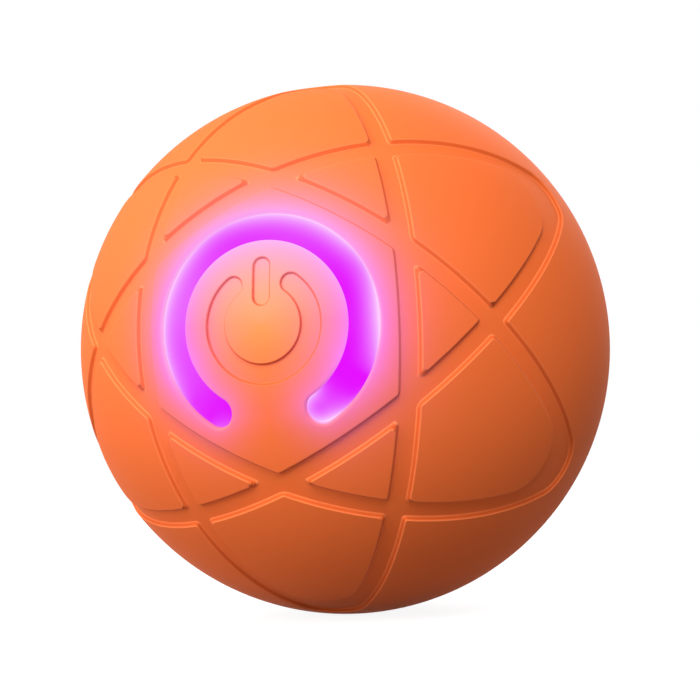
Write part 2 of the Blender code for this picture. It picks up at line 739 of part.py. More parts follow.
def raised_face(radius, thickness):
    """The button's outermost layer, which the power symbol is cut through."""
    reach = RING_OUTER_RADIUS - CLEARANCE * 2
    outside = meridian(radius, 0, at_radius(radius, reach))
    inner = radius - thickness
    inside = meridian(inner, at_radius(inner, reach), 0)
    return turned(outside + inside, BALL_STEPS)


def button_pad():
    floor = BALL_RADIUS - ICON_DEPTH
    face = shaped(raised_face(BALL_RADIUS, ICON_DEPTH * 3 / 2))
    cut(face, power_symbol(floor - ICON_DEPTH))
    pad = shaped(cap(floor, PAD_REAR))
    combine(pad, face, "UNION")
    keep(pad, extruded(window_outline(-1), -BALL_RADIUS - OVERRUN, -OVERRUN))
    return finish(pad, "button_pad", "cover_orange")


def button_actuator():
    profile = [
        (0, ACTUATOR_FRONT),
        (ACTUATOR_RADIUS, ACTUATOR_FRONT),
        (ACTUATOR_RADIUS, ACTUATOR_REAR),
        (STEM_RADIUS, ACTUATOR_REAR),
        (STEM_RADIUS, STEM_REAR),
        (0, STEM_REAR),
    ]
    return finish(shaped(turned(profile)), "button_actuator", "shell_white")


def button_guide():
    """The sleeve that stands on the board and guides the button's stem."""
    outer = RING_INNER_RADIUS - CLEARANCE
    inner = outer - GUIDE_WALL
    hole = STEM_RADIUS + CLEARANCE
    web_rear = WEB_FRONT + GUIDE_WEB_THICKNESS
    foot = BOARD_FRONT - CLEARANCE
    profile = [
        (outer, WEB_FRONT),
        (outer, foot),
        (inner, foot),
        (inner, web_rear),
        (hole, web_rear),
        (hole, WEB_FRONT),
    ]
    return finish(shaped(turned(profile, BALL_STEPS)), "button_guide", "shell_white")


def switch():
    half = SWITCH_WIDTH / 2
    plunger_hole = PLUNGER_RADIUS + CLEARANCE
    body = shaped(block((-half, SWITCH_FRONT, -half), (half, BOARD_FRONT - CLEARANCE, half)))
    depth = PRESS_TRAVEL + CLEARANCE * 3
    cut(body, extruded(circle(plunger_hole), SWITCH_FRONT - OVERRUN, SWITCH_FRONT + depth))
    finish(body, "switch_body", "chip_black")
    plunger = extruded(circle(PLUNGER_RADIUS), PLUNGER_FRONT, SWITCH_FRONT + CLEARANCE)
    finish(shaped(plunger), "switch_plunger", "frame_black")


def screw(name, radius, length, location, turned_round=False):
    """A screw whose head sits at its origin and whose shank runs along -Y, or along +Y if turned round."""
    head = radius * HEAD_RADIUS_SHARE
    height = radius * HEAD_HEIGHT_SHARE
    profile = [
        (0, -length),
        (radius, -length + radius),
        (radius, 0),
        (head, 0),
        (head, height / 2),
        (radius, height),
        (0, height),
    ]
    made = finish(shaped(turned(profile, SCREW_STEPS)), name, "steel", location)
    if turned_round:
        made.rotation_euler.x = math.pi
    return made


def screws(name, radius, length, places, seat):
    for i, (x, z) in enumerate(places, 1):
        screw(f"{name}_{i}", radius, length, (x, seat, z))


def all_ball_screws():
    columns = ring_of_places(COLUMN_RING_RADIUS, COLUMN_AZIMUTHS)
    seat = COLUMN_SEAT + CLEARANCE
    screws("shell_screw", SHELL_SCREW_RADIUS, SHELL_SCREW_LENGTH, columns, seat)
    bosses = ring_of_places(BOARD_SCREW_RING, BOARD_SCREW_AZIMUTHS)
    seat = BOARD_REAR + CLEARANCE
    screws("board_screw", SMALL_SCREW_RADIUS, SMALL_SCREW_LENGTH, bosses, seat)
    posts = ring_of_places(POST_RING_RADIUS, POST_AZIMUTHS)
    seat = CHASSIS_REAR + CLEARANCE
    screws("chassis_screw", SMALL_SCREW_RADIUS, SMALL_SCREW_LENGTH, posts, seat)


def led_azimuths():
    """The lights stand evenly under the light guide, which is open at the bottom."""
    share = (360 - RING_GAP_HALF_ANGLE * 2) / LED_COUNT
    first = RING_GAP_AZIMUTH + RING_GAP_HALF_ANGLE
    return [first + share * (i + 1 / 2) for i in range(LED_COUNT)]


def leds():
    rear = BOARD_FRONT - CLEARANCE
    for i, azimuth in enumerate(led_azimuths(), 1):
        x, z = polar(RING_MID_RADIUS, azimuth)
        low = (-LED_WIDTH / 2, -LED_HEIGHT, -LED_LENGTH / 2)
        high = (LED_WIDTH / 2, 0, LED_LENGTH / 2)
        led = finish(shaped(block(low, high)), f"led_{i}", "led_white", (x, rear, z))
        led.rotation_euler.y = -math.radians(azimuth)


def chip(name, size, x, z):
    """A chip on the back of the main board."""
    width, height = size
    low = (-width / 2, 0, -height / 2)
    high = (width / 2, CHIP_HEIGHT, height / 2)
    location = (x, BOARD_REAR + CLEARANCE, z)
    return finish(shaped(block(low, high)), name, "chip_black", location)


def main_board():
    holes = ring_of_places(BOARD_SCREW_RING, BOARD_SCREW_AZIMUTHS)
    board = shaped(extruded(circle(BOARD_RADIUS, steps=BALL_STEPS), BOARD_FRONT, BOARD_REAR))
    hole = SMALL_SCREW_RADIUS + CLEARANCE
    cut(board, pillars(holes, hole, BOARD_FRONT - OVERRUN, BOARD_REAR + OVERRUN))
    finish(board, "main_board", "board_green")
    middle = BOARD_RADIUS / 2
    chip("control_chip", CONTROL_CHIP, -middle, middle)
    chip("motor_driver_chip", DRIVER_CHIP, 0, -middle)
    chip("motion_sensor", SENSOR, 0, middle)


def gear_places():
    """(x, z) of the second gear, the first gear and the motor, each in mesh with the one before."""
    places = []
    x = z = 0
    for azimuth in GEAR_AZIMUTHS:
        dx, dz = polar(GEAR_DISTANCE, azimuth)
        x, z = x + dx, z + dz
        places.append((x, z))
    return places


def gear_outline(teeth, turn=0):
    """A gear's outline with one tooth centred on the turn angle."""
    pressure = math.radians(PRESSURE_ANGLE)
    pitch = GEAR_MODULE * teeth / 2
    base = pitch * math.cos(pressure)
    tip = pitch + GEAR_MODULE * ADDENDUM_SHARE
    root = pitch - GEAR_MODULE * DEDENDUM_SHARE
    pitch_half = (math.pi * GEAR_MODULE / 2 - TOOTH_BACKLASH) / (2 * pitch)

    def half_angle(radius):
        lean = math.acos(min(1, base / radius))
        return pitch_half + math.tan(pressure) - pressure - math.tan(lean) + lean

    points = []
    for i in range(teeth):
        middle = turn + 360 * i / teeth
        for radius, side in ((root, -1), (tip, -1), (tip, 1), (root, 1)):
            points.append(polar(radius, middle + side * math.degrees(half_angle(radius))))
    return points


def mesh_turns():
    """The turn of each gear's outlines, so that every pair is in mesh at rest.

    Along the line between two gears the driven one has a tooth and the driving one has a gap.
    """
    half_pitch = 180 / SMALL_TEETH
    return [(azimuth, azimuth + 180 + half_pitch) for azimuth in GEAR_AZIMUTHS]


def gear_bar(teeth, turn, start, end):
    return extruded(gear_outline(teeth, turn), start, end)


def gears():
    """Motor pinion, two stepped gears and the output gear, each about its own axis."""
    second, first, motor = gear_places()
    (output_turn, second_small), (second_large, first_small), (first_large, pinion_turn) = mesh_turns()
    bore = extruded(circle(AXLE_RADIUS + CLEARANCE), FIRST_PLANE - OVERRUN, GEARS_END + OVERRUN)
    planes = {
        "first_gear": (first, FIRST_PLANE, SECOND_PLANE, first_large, first_small),
        "second_gear": (second, SECOND_PLANE, THIRD_PLANE, second_large, second_small),
    }
    for name, ((x, z), large, small, large_turn, small_turn) in planes.items():
        gear = shaped(gear_bar(LARGE_TEETH, large_turn, large, large + GEAR_WIDTH))
        add(gear, gear_bar(SMALL_TEETH, small_turn, large + GEAR_WIDTH / 2, small + GEAR_WIDTH))
        cut(gear, bore.copy())
        finish(gear, name, "gear_cream", (x, 0, z))
    bore.free()
    output = shaped(gear_bar(LARGE_TEETH, output_turn, THIRD_PLANE, GEARS_END))
    shaft = extruded(circle(SHAFT_RADIUS + CLEARANCE), THIRD_PLANE - OVERRUN, GEARS_END + OVERRUN)
    cut(output, shaft)
    finish(output, "output_gear", "gear_cream")
    pinion = shaped(gear_bar(SMALL_TEETH, pinion_turn, FIRST_PLANE, FIRST_PLANE + GEAR_WIDTH))
    tail = MOTOR_FRONT - MOTOR_BORE_DEPTH + CLEARANCE
    add(pinion, extruded(circle(MOTOR_SHAFT_RADIUS, steps=SCREW_STEPS), tail, FIRST_PLANE + GEAR_WIDTH / 2))
    finish(pinion, "motor_pinion", "brass", (motor[0], 0, motor[1]))


def axles():
    second, first, _ = gear_places()
    for name, (x, z) in (("first_axle", first), ("second_axle", second)):
        pin = extruded(circle(AXLE_RADIUS, steps=SCREW_STEPS), CHASSIS_FRONT, LID_REAR)
        finish(shaped(pin), name, "steel", (x, 0, z))


def gearbox_outline(gap, wall=0):
    """The gearbox's wall round its gears."""
    second, first, motor = gear_places()
    points = circle(SMALL_TIP_RADIUS + gap + wall, motor)
    for place in ((0, 0), second, first):
        points += circle(LARGE_TIP_RADIUS + gap + wall, place)
    return hull(points)


def lid_ears():
    """(x, z) of the two ears that hold the gearbox's lid down."""
    _, first, _ = gear_places()
    reach = LARGE_TIP_RADIUS + RUNNING_GAP + LID_WALL + EAR_RADIUS * 2 / 3
    places = []
    for centre, azimuth in zip(((0, 0), first), LID_EAR_AZIMUTHS):
        x, z = polar(reach, azimuth)
        places.append((centre[0] + x, centre[1] + z))
    return places


def gearbox_lid():
    second, first, _ = gear_places()
    foot = CHASSIS_REAR + CLEARANCE
    lid = shaped(extruded(gearbox_outline(RUNNING_GAP, LID_WALL), foot, LID_REAR))
    add(lid, pillars(lid_ears(), EAR_RADIUS, foot + HALF_GAP, foot + EAR_THICKNESS))
    cut(
        lid,
        extruded(gearbox_outline(RUNNING_GAP), foot - OVERRUN, LID_FRONT),
        pillars(lid_ears(), SMALL_SCREW_RADIUS + CLEARANCE, foot - OVERRUN, foot + OVERRUN),
        pillars([second, first], AXLE_RADIUS + CLEARANCE, LID_FRONT - OVERRUN, LID_REAR + OVERRUN),
        pillars([(0, 0)], SHAFT_RADIUS + RUNNING_GAP, LID_FRONT - OVERRUN, LID_REAR + OVERRUN),
    )
    finish(lid, "gearbox_lid", "frame_black")
    seat = foot + EAR_THICKNESS + CLEARANCE
    screws("lid_screw", SMALL_SCREW_RADIUS, EAR_THICKNESS + CHASSIS_THICKNESS, lid_ears(), seat)


def bracket_places():
    """(x, z) of the motor bracket's two screws."""
    x, z = gear_places()[2]
    reach = MOTOR_HEIGHT / 2 + CLEARANCE + BRACKET_WALL + EAR_RADIUS
    return [(x, z + reach), (x, z - reach)]


def motor():
    x, z = gear_places()[2]
    outline = rounded_box(MOTOR_WIDTH, MOTOR_HEIGHT, MOTOR_CORNER)
    can = shaped(extruded(outline, MOTOR_BACK, MOTOR_FRONT))
    nose = MOTOR_FRONT + MOTOR_BOSS_LENGTH
    add(can, extruded(circle(MOTOR_BOSS_RADIUS), MOTOR_FRONT - OVERRUN, nose))
    bore = circle(MOTOR_SHAFT_RADIUS + CLEARANCE, steps=SCREW_STEPS)
    cut(can, extruded(bore, MOTOR_FRONT - MOTOR_BORE_DEPTH, nose + OVERRUN))
    finish(can, "motor_can", "steel", (x, 0, z))
    grown = (CLEARANCE + BRACKET_WALL) * 2
    outer = rounded_box(MOTOR_WIDTH + grown, MOTOR_HEIGHT + grown, MOTOR_CORNER + grown / 2, (x, z))
    gap = CLEARANCE * 2
    inner = rounded_box(MOTOR_WIDTH + gap, MOTOR_HEIGHT + gap, MOTOR_CORNER + CLEARANCE, (x, z))
    rear = MOTOR_FRONT
    bracket = shaped(extruded(outer, rear - BRACKET_LENGTH, rear))
    ears = hull([p for place in bracket_places() for p in circle(EAR_RADIUS, place)])
    add(bracket, extruded(ears, rear - EAR_THICKNESS, rear - HALF_GAP))
    holes = pillars(bracket_places(), SMALL_SCREW_RADIUS + CLEARANCE, rear - OVERRUN, rear + OVERRUN)
    cut(bracket, extruded(inner, rear - BRACKET_LENGTH - OVERRUN, rear + OVERRUN), holes)
    finish(bracket, "motor_bracket", "frame_black")
    seat = rear - EAR_THICKNESS - CLEARANCE
    length = EAR_THICKNESS + CHASSIS_THICKNESS
    for i, (px, pz) in enumerate(bracket_places(), 1):
        screw(f"bracket_screw_{i}", SMALL_SCREW_RADIUS, length, (px, seat, pz), turned_round=True)


def chassis_plate():
    second, first, motor_place = gear_places()
    plate = shaped(extruded(circle(CHASSIS_RADIUS, steps=BALL_STEPS), CHASSIS_FRONT, CHASSIS_REAR))
    columns = ring_of_places(COLUMN_RING_RADIUS, COLUMN_AZIMUTHS)
    posts = ring_of_places(POST_RING_RADIUS, POST_AZIMUTHS)
    small = SMALL_SCREW_RADIUS + CLEARANCE
    for places, radius in (
        (columns, COLUMN_RADIUS + CLEARANCE * 2),
        (posts + lid_ears() + bracket_places(), small),
        ([second, first], AXLE_RADIUS + CLEARANCE),
        ([motor_place], MOTOR_BOSS_RADIUS + CLEARANCE),
        ([(0, 0)], BUSH_SEAT_RADIUS),
    ):
        cut(plate, pillars(places, radius, CHASSIS_FRONT - OVERRUN, CHASSIS_REAR + OVERRUN))
    return finish(plate, "chassis_plate", "frame_black")


def bushes():
    """Plain bearings for both ends of the output shaft."""
    bore = SHAFT_RADIUS + CLEARANCE
    for name, front, rear in (
        ("front_bush", CHASSIS_FRONT, CHASSIS_REAR),
        ("rear_bush", REAR_POST_FRONT, REAR_POST_FRONT + BUSH_LENGTH),
    ):
        profile = [(BUSH_RADIUS, front), (BUSH_RADIUS, rear), (bore, rear), (bore, front)]
        finish(shaped(turned(profile)), name, "brass")


def output_shaft():
    front = CHASSIS_FRONT - CLEARANCE
    rear = REAR_POST_FRONT + BUSH_LENGTH - CLEARANCE
    return finish(shaped(extruded(circle(SHAFT_RADIUS), front, rear)), "output_shaft", "steel")


def counterweight():
    """A heavy sector that hangs below the output shaft, and the grub screw that locks it there."""
    first = 270 - WEIGHT_SWEEP / 2
    outline = arc(WEIGHT_RADIUS, first, first + WEIGHT_SWEEP, ROUND_STEPS)
    outline += arc(WEIGHT_HUB_RADIUS, 0, 180, ROUND_STEPS // 2)
    weight = shaped(extruded(outline, WEIGHT_FRONT, WEIGHT_REAR))
    middle = (WEIGHT_FRONT + WEIGHT_REAR) / 2
    bore = extruded(circle(SHAFT_RADIUS + CLEARANCE), WEIGHT_FRONT - OVERRUN, WEIGHT_REAR + OVERRUN)
    hole = circle(GRUB_RADIUS + CLEARANCE, (0, middle), SCREW_STEPS)
    cut(weight, bore, extruded(hole, 0, WEIGHT_HUB_RADIUS + OVERRUN, 2))
    finish(weight, "counterweight", "weight_steel")
    start = SHAFT_RADIUS + CLEARANCE
    grub = extruded(circle(GRUB_RADIUS, steps=SCREW_STEPS), 0, GRUB_LENGTH, 2)
    finish(shaped(grub), "weight_screw", "steel", (0, middle, start))


def battery():
    """A small round cell lying along X, and the cradle that holds it on the chassis plate."""
    centre = (CELL_DEPTH, CELL_HEIGHT)
    cell = shaped(extruded(circle(CELL_RADIUS, centre), -CELL_LENGTH / 2, CELL_LENGTH / 2, 0))
    tip = circle(CELL_TIP_RADIUS, centre, SCREW_STEPS)
    add(cell, extruded(tip, 0, CELL_LENGTH / 2 + CELL_TIP_LENGTH, 0))
    finish(cell, "battery_cell", "cell_blue")
    inside = CELL_RADIUS + CLEARANCE
    outside = inside + CRADLE_WALL
    rear = CHASSIS_FRONT - CLEARANCE
    outline = arc(inside, 90, -90, ROUND_STEPS // 2, centre)
    outline += [(CELL_DEPTH, CELL_HEIGHT - outside), (rear, CELL_HEIGHT - outside)]
    outline += [(rear, CELL_HEIGHT + outside), (CELL_DEPTH, CELL_HEIGHT + outside)]
    cradle = extruded(outline, -CRADLE_LENGTH / 2, CRADLE_LENGTH / 2, 0)
    finish(shaped(cradle), "battery_cradle", "frame_black")


def charging_port():
    board_end = SOCKET_MOUTH + SOCKET_PROUD + OVERRUN
    half = CHARGE_BOARD_WIDTH / 2
    low = (board_end, CHARGE_BOARD_FRONT, -half)
    high = (board_end + CHARGE_BOARD_LENGTH, CHARGE_BOARD_REAR, half)
    finish(shaped(block(low, high)), "charge_board", "board_green")
    centre = (PORT_DEPTH, 0)
    outer = rounded_box(SOCKET_HEIGHT, SOCKET_WIDTH, SOCKET_HEIGHT / 2 - HALF_GAP, centre)
    inside_height = SOCKET_HEIGHT - SOCKET_WALL * 2
    inside = (inside_height, SOCKET_WIDTH - SOCKET_WALL * 2, inside_height / 2 - HALF_GAP, centre)
    rear = SOCKET_MOUTH + SOCKET_LENGTH
    socket = shaped(extruded(outer, SOCKET_MOUTH, rear, 0))
    back = rear - SOCKET_WALL * 3
    cut(socket, extruded(rounded_box(*inside), SOCKET_MOUTH - OVERRUN, back, 0))
    tongue = rounded_box(TONGUE_HEIGHT, TONGUE_WIDTH, TONGUE_HEIGHT / 3, centre, 1)
    add(socket, extruded(tongue, back - TONGUE_LENGTH, back + SOCKET_WALL, 0))
    finish(socket, "usb_socket", "steel")
    plug = shaped(extruded(port_outline(CLEARANCE), -BALL_RADIUS - OVERRUN, SOCKET_MOUTH - CLEARANCE, 0))
    keep(plug, turned(meridian(BALL_RADIUS, 0, 180), BALL_STEPS))
    finish(plug, "port_plug", "cover_orange")


def lead(name, finish_name, radius, route):
    """A round lead along a smooth curve through its route."""
    points = [Vector(p) for p in route]
    ends = [points[0] * 2 - points[1], *points, points[-1] * 2 - points[-2]]
    smooth = []
    for a, b, c, d in zip(ends, ends[1:], ends[2:], ends[3:]):
        for share in (0, 1 / 3, 2 / 3):
            bend = (a * 2 - b * 5 + c * 4 - d) * share**2 + (b * 3 - a - c * 3 + d) * share**3
            smooth.append((b * 2 + (c - a) * share + bend) / 2)
    smooth.append(points[-1])
    curve = bpy.data.curves.new(name, "CURVE")
    curve.dimensions = "3D"
    curve.bevel_depth = radius
    curve.bevel_resolution = 2
    curve.use_fill_caps = True
    spline = curve.splines.new("POLY")
    spline.points.add(len(smooth) - 1)
    for point, place in zip(spline.points, smooth):
        point.co = (*place, 1)
    curve.materials.append(material(finish_name))
    made = bpy.data.objects.new(name, curve)
    bpy.context.collection.objects.link(made)
    return made


def leads():
    x, z = gear_places()[2]
    middle = MOTOR_BACK - LEAD_SPACE / 2
    board = BOARD_REAR + CLEARANCE + LEAD_RADIUS
    start = MOTOR_BACK - CLEARANCE
    side = MOTOR_WIDTH / 4
    edge = BOARD_RADIUS * 3 / 4
    for name, way in (("red", 1), ("black", -1)):
        height = z + way * MOTOR_HEIGHT / 4
        route = [
            (x + side, start, height),
            (x + side, middle, height),
            (x + side * 2, middle, height - way * OVERRUN / 2),
            (edge, board, z + way * side),
        ]
        lead(f"motor_lead_{name}", f"lead_{name}", LEAD_RADIUS, route)
        tip = way * (CELL_LENGTH / 2 + CELL_TIP_LENGTH + CLEARANCE + LEAD_RADIUS)
        route = [
            (tip, CELL_DEPTH, CELL_HEIGHT),
            (tip, CELL_DEPTH - CELL_RADIUS, CELL_HEIGHT),
            (way * (edge + OVERRUN), (CELL_DEPTH - CELL_RADIUS + board) / 2, CELL_HEIGHT),
            (way * edge * 3 / 4, board, CELL_HEIGHT),
        ]
        lead(f"battery_lead_{name}", f"lead_{name}", LEAD_RADIUS, route)
    board_x = SOCKET_MOUTH + SOCKET_PROUD + OVERRUN + CHARGE_BOARD_LENGTH - OVERRUN
    start = CHARGE_BOARD_FRONT - CLEARANCE
    rear = BOARD_REAR + CLEARANCE + CABLE_RADIUS
    height = CHARGE_BOARD_WIDTH / 4
    route = [
        (board_x, start, height),
        (board_x, start - OVERRUN * 2, height),
        (board_x + OVERRUN, (start + rear) / 2, height),
        (-edge, rear + OVERRUN, 0),
        (-edge * 3 / 4, rear, -OVERRUN),
    ]
    lead("charge_cable", "lead_black", CABLE_RADIUS, route)


def clear_scene():
    for obj in list(bpy.data.objects):
        bpy.data.objects.remove(obj)


def main():
    clear_scene()
    covers()
    front_shell()
    rear_shell()
    seal_ring()
    light_guide()
    button_pad()
    button_actuator()
    button_guide()
    switch()
    leds()
    main_board()
    all_ball_screws()
    chassis_plate()
    motor()
    gears()
    axles()
    gearbox_lid()
    bushes()
    output_shaft()
    counterweight()
    battery()
    charging_port()
    leads()


main()
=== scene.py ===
"""Looks of the interactive dog ball: its soft grooved skin, lit ring, button and studio.

The skin is one sphere whose faces are split along every groove, slot and symbol edge, then pressed in
to a stepped or rounded profile. A modelling operator can't lay such edges round a sphere, so code
places them.
"""

import functools
import math

import bpy
import numpy as np
from mathutils import Matrix, Vector


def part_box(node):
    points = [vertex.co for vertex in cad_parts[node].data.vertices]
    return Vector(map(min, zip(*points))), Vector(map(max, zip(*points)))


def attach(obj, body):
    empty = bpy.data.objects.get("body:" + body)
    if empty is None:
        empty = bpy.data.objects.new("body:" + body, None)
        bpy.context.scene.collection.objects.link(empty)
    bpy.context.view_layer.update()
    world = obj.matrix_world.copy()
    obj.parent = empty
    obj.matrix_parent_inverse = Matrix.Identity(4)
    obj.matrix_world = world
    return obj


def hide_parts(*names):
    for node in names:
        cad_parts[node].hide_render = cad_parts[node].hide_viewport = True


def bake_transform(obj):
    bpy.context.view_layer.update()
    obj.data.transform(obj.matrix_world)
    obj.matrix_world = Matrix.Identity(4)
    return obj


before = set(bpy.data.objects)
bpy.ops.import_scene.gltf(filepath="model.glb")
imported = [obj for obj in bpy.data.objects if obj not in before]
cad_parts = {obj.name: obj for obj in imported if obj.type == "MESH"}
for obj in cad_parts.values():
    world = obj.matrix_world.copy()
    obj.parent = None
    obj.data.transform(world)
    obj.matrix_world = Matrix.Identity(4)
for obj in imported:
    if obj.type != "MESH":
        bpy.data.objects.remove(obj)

bl_info = {
    "name": "Interactive dog ball",
    "version": (1, 0, 0),
    "blender": (4, 5, 0),
    "location": "View3D > Sidebar > Dog ball",
    "description": "Builds the visible pieces of a self-rolling dog ball on its CAD frame",
    "category": "Object",
}

MM = 0.001
# Closer than this, in metres, counts as touching
TOUCH = 1e-6
# Farther away, in metres, than any edge of the ball
FAR = 1.0
# Half the gap that shows where the two halves of the cover meet
SEAM_HALF_GAP = 0.05 * MM
# How near a point lies to the edge that it belongs to, to the seam's edge and to the seam's middle
ON_EDGE = 0.02 * MM
ON_SEAM = 0.01 * MM
NEAR_SEAM = 0.1 * MM
# Steps between the skin's rings of points, round the button and over the rest of the ball
FINE_STEP = 0.5 * MM
COARSE_STEP = 0.85 * MM
# How far the fine steps go on outside the lit ring
FINE_MARGIN = 0.5 * MM
RING_POINTS = 360
# How often an edge is halved to find the place where a groove's outline crosses it
HALVINGS = 16
# How far to each side, in radians, the skin's slope is measured
SLOPE_REACH = 1e-4
# Z share of a direction above which X, not Z, helps to measure the slope
NEAR_POLE = 0.9
# Steps across a groove's wall and across a wall of the symbol or the notch
GROOVE_STEPS = 7
SYMBOL_STEPS = 4
FILLET_ANGLES = (0, 20, 40, 60, 90)
LOOP_AZIMUTHS = (0, 60, 120)
# The plug's inner end, against its place in the CAD frame
PLUG_END = 1.03

# Painted shade along the walls: how dark a groove's wall is painted over its whole width, and how much
# darker along its middle
WALL_SHADE = 0.5
MIDDLE_SHADE = 0.3
MIDDLE_WIDTH = 0.12 * MM
MIDDLE_REACH = 1.6
# How strongly shade is painted on the power symbol's walls
SYMBOL_SHADE = 1.3
# How dark the rubber's faint clouds are
CLOUD_SHADE = 0.96

# Light round the ring: how much is added, at which angle and over what spread, in degrees from the right
EDGE_BUMPS = ((-0.675, -130, 25), (-0.36, -32, 17))
BED_BUMPS = ((0.125, 163, 38), (0.05, 75, 35), (0.05, -55, 10), (0.01, 0, 14), (0.03, -150, 18))
RIM_BUMPS = (
    (-0.97, -130, 22),
    (-1.0, -32, 18),
    (-0.5, -55, 15),
    (0.25, 2, 12),
    (-0.45, 30, 14),
    (-0.45, 120, 20),
    (-0.35, -170, 35),
)
LINE_BUMPS = ((-0.3, -130, 22), (-0.3, -32, 17), (0.25, 178, 35))
CAP_BUMPS = ((0.5, -60, 9),)
# How steeply the ring gets paler towards its rim, and the sum that counts as palest
RIM_STEEPNESS = 2.8
PALEST = 0.62

# The studio's round lamps: name, place in metres and power in watts
LAMPS = (
    ("left_light", (-0.444, -0.119, 0.386), 1.65),
    ("right_light", (0.119, -0.444, 0.386), 2.95),
    ("front_light", (-0.150, -0.560, 0.155), 0.6),
    ("low_light", (-0.410, -0.410, 0.155), 1.55),
    ("back_light", (0.150, 0.460, 0.360), 1.2),
)
LAMP_SIZE = 0.35
FLOOR_SIZE = 6
# Where the camera stands, seen from the ball's middle, and which way is up for it
CAMERA_SIDE = (0.2584, -0.9621, -0.0869)
CAMERA_UP = (0.0565, -0.0747, 0.9956)
CAMERA_RADII_AWAY = 5.5
CAMERA_LENS = 73.6
CAMERA_SENSOR = 36
CAMERA_SHIFT = (0.0066, -0.0009)
CAMERA_NEAREST = 0.01


def ball_radius():
    low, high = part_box("front_cover")
    return (high[2] - low[2]) / 2


def plug_outline():
    """(y, width, height) of the charging port's plug, from its CAD box."""
    low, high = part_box("port_plug")
    return (low[1] + high[1]) / 2, high[2] - low[2], high[1] - low[1]


RADIUS = round(ball_radius(), 5)


def length(name, description, default):
    """A size that a user can change."""
    return bpy.props.FloatProperty(
        name=name, description=description, default=default, precision=5, unit="LENGTH"
    )


def angle(name, description, degrees):
    """An angle that a user can change, given in degrees."""
    return bpy.props.FloatProperty(
        name=name, description=description, default=math.radians(degrees), unit="ROTATION"
    )


def share(name, description, default):
    """A strength or share from 0 to 1 that a user can change."""
    return bpy.props.FloatProperty(
        name=name, description=description, default=default, subtype="FACTOR", min=0, max=1
    )


def colour(name, description, default):
    """A colour that a user can change."""
    return bpy.props.FloatVectorProperty(
        name=name, description=description, default=default, subtype="COLOR", min=0, max=1
    )


class SkinSizes(bpy.types.PropertyGroup):
    """The soft cover and its grooves."""

    groove_width: length("Groove width", "Width of a groove halfway down its walls", 0.0027)
    groove_depth: length("Groove depth", "Depth of the grooves", 0.00055)
    groove_wall: length("Groove wall", "Half the width of a groove's stepped wall", 0.00033)
    groove_soft: length("Groove softness", "Half the width of each of a wall's two steps", 0.00019)
    panel_corner: length("Panel corner", "Radius of a panel's corner where grooves cross", 0.00035)
    outer_corner: length("Outer corner", "Radius of a loop's end along its outer edge", 0.00495)
    inner_corner: length("Inner corner", "Radius of a loop's end along its inner edge", 0.00655)
    loop_tilt: angle("Loop tilt", "How far a loop's side leans from the button's axis", 32.15)
    side_shift: angle("Side shift", "How far a loop's side lies inside a great circle", 5.10)
    seam_fillet: length("Seam rounding", "Rounding where the halves of the cover meet", 0.0002)
    wall: length("Wall", "How far the skin goes in at its openings", 0.003)


class RingSizes(bpy.types.PropertyGroup):
    """The lit ring and the button inside it."""

    inner: length("Inner radius", "Inner radius of the lit ring", 0.0111)
    width: length("Width", "Width of the lit ring", 0.00395)
    aside: length("Sideways", "How far ring and button lie beside the grooves' middle", -0.00022)
    above: length("Upwards", "How far ring and button lie above the grooves' middle", 0.00028)
    gap: angle("Gap", "Half the angle by which the ring is open at the bottom", 32.5)
    recess: length("Recess", "How far the ring lies below the skin", 0.0005)
    wall: length("Wall", "How far the lit ring goes in", 0.006)
    fillet: length("Edge rounding", "Rounding of the skin along the ring", 0.0004)
    icon_radius: length("Symbol radius", "Middle radius of the power symbol", 0.006425)
    icon_stroke: length("Symbol stroke", "Width of the symbol's ring", 0.00255)
    icon_gap: angle("Symbol gap", "Half the angle by which the symbol's ring is open", 37)
    icon_bar: length("Bar width", "Width of the symbol's bar", 0.0022)
    icon_bar_bottom: length("Bar bottom", "Height of the bar's lower end", 0.0024)
    icon_bar_top: length("Bar top", "Height of the bar's upper end", 0.0087)
    icon_depth: length("Symbol depth", "Depth of the power symbol", 0.00042)
    icon_soft: length("Symbol softness", "Half the width of the symbol's rounded wall", 0.0002)


class PortSizes(bpy.types.PropertyGroup):
    """The plug in the charging port."""

    gap: length("Gap", "Gap between the plug and the cover", 0.00012)
    fillet: length("Edge rounding", "Rounding of the plug and of its opening", 0.00035)
    notch_radius: length("Notch radius", "Radius of the notch for a fingernail", 0.0014)
    notch_depth: length("Notch depth", "Depth of the notch for a fingernail", 0.0007)
    notch_inset: length("Notch place", "How far the notch's middle lies from the plug's end", 0.00224)
    notch_soft: length("Notch softness", "Half the width of the notch's rounded wall", 0.00056)


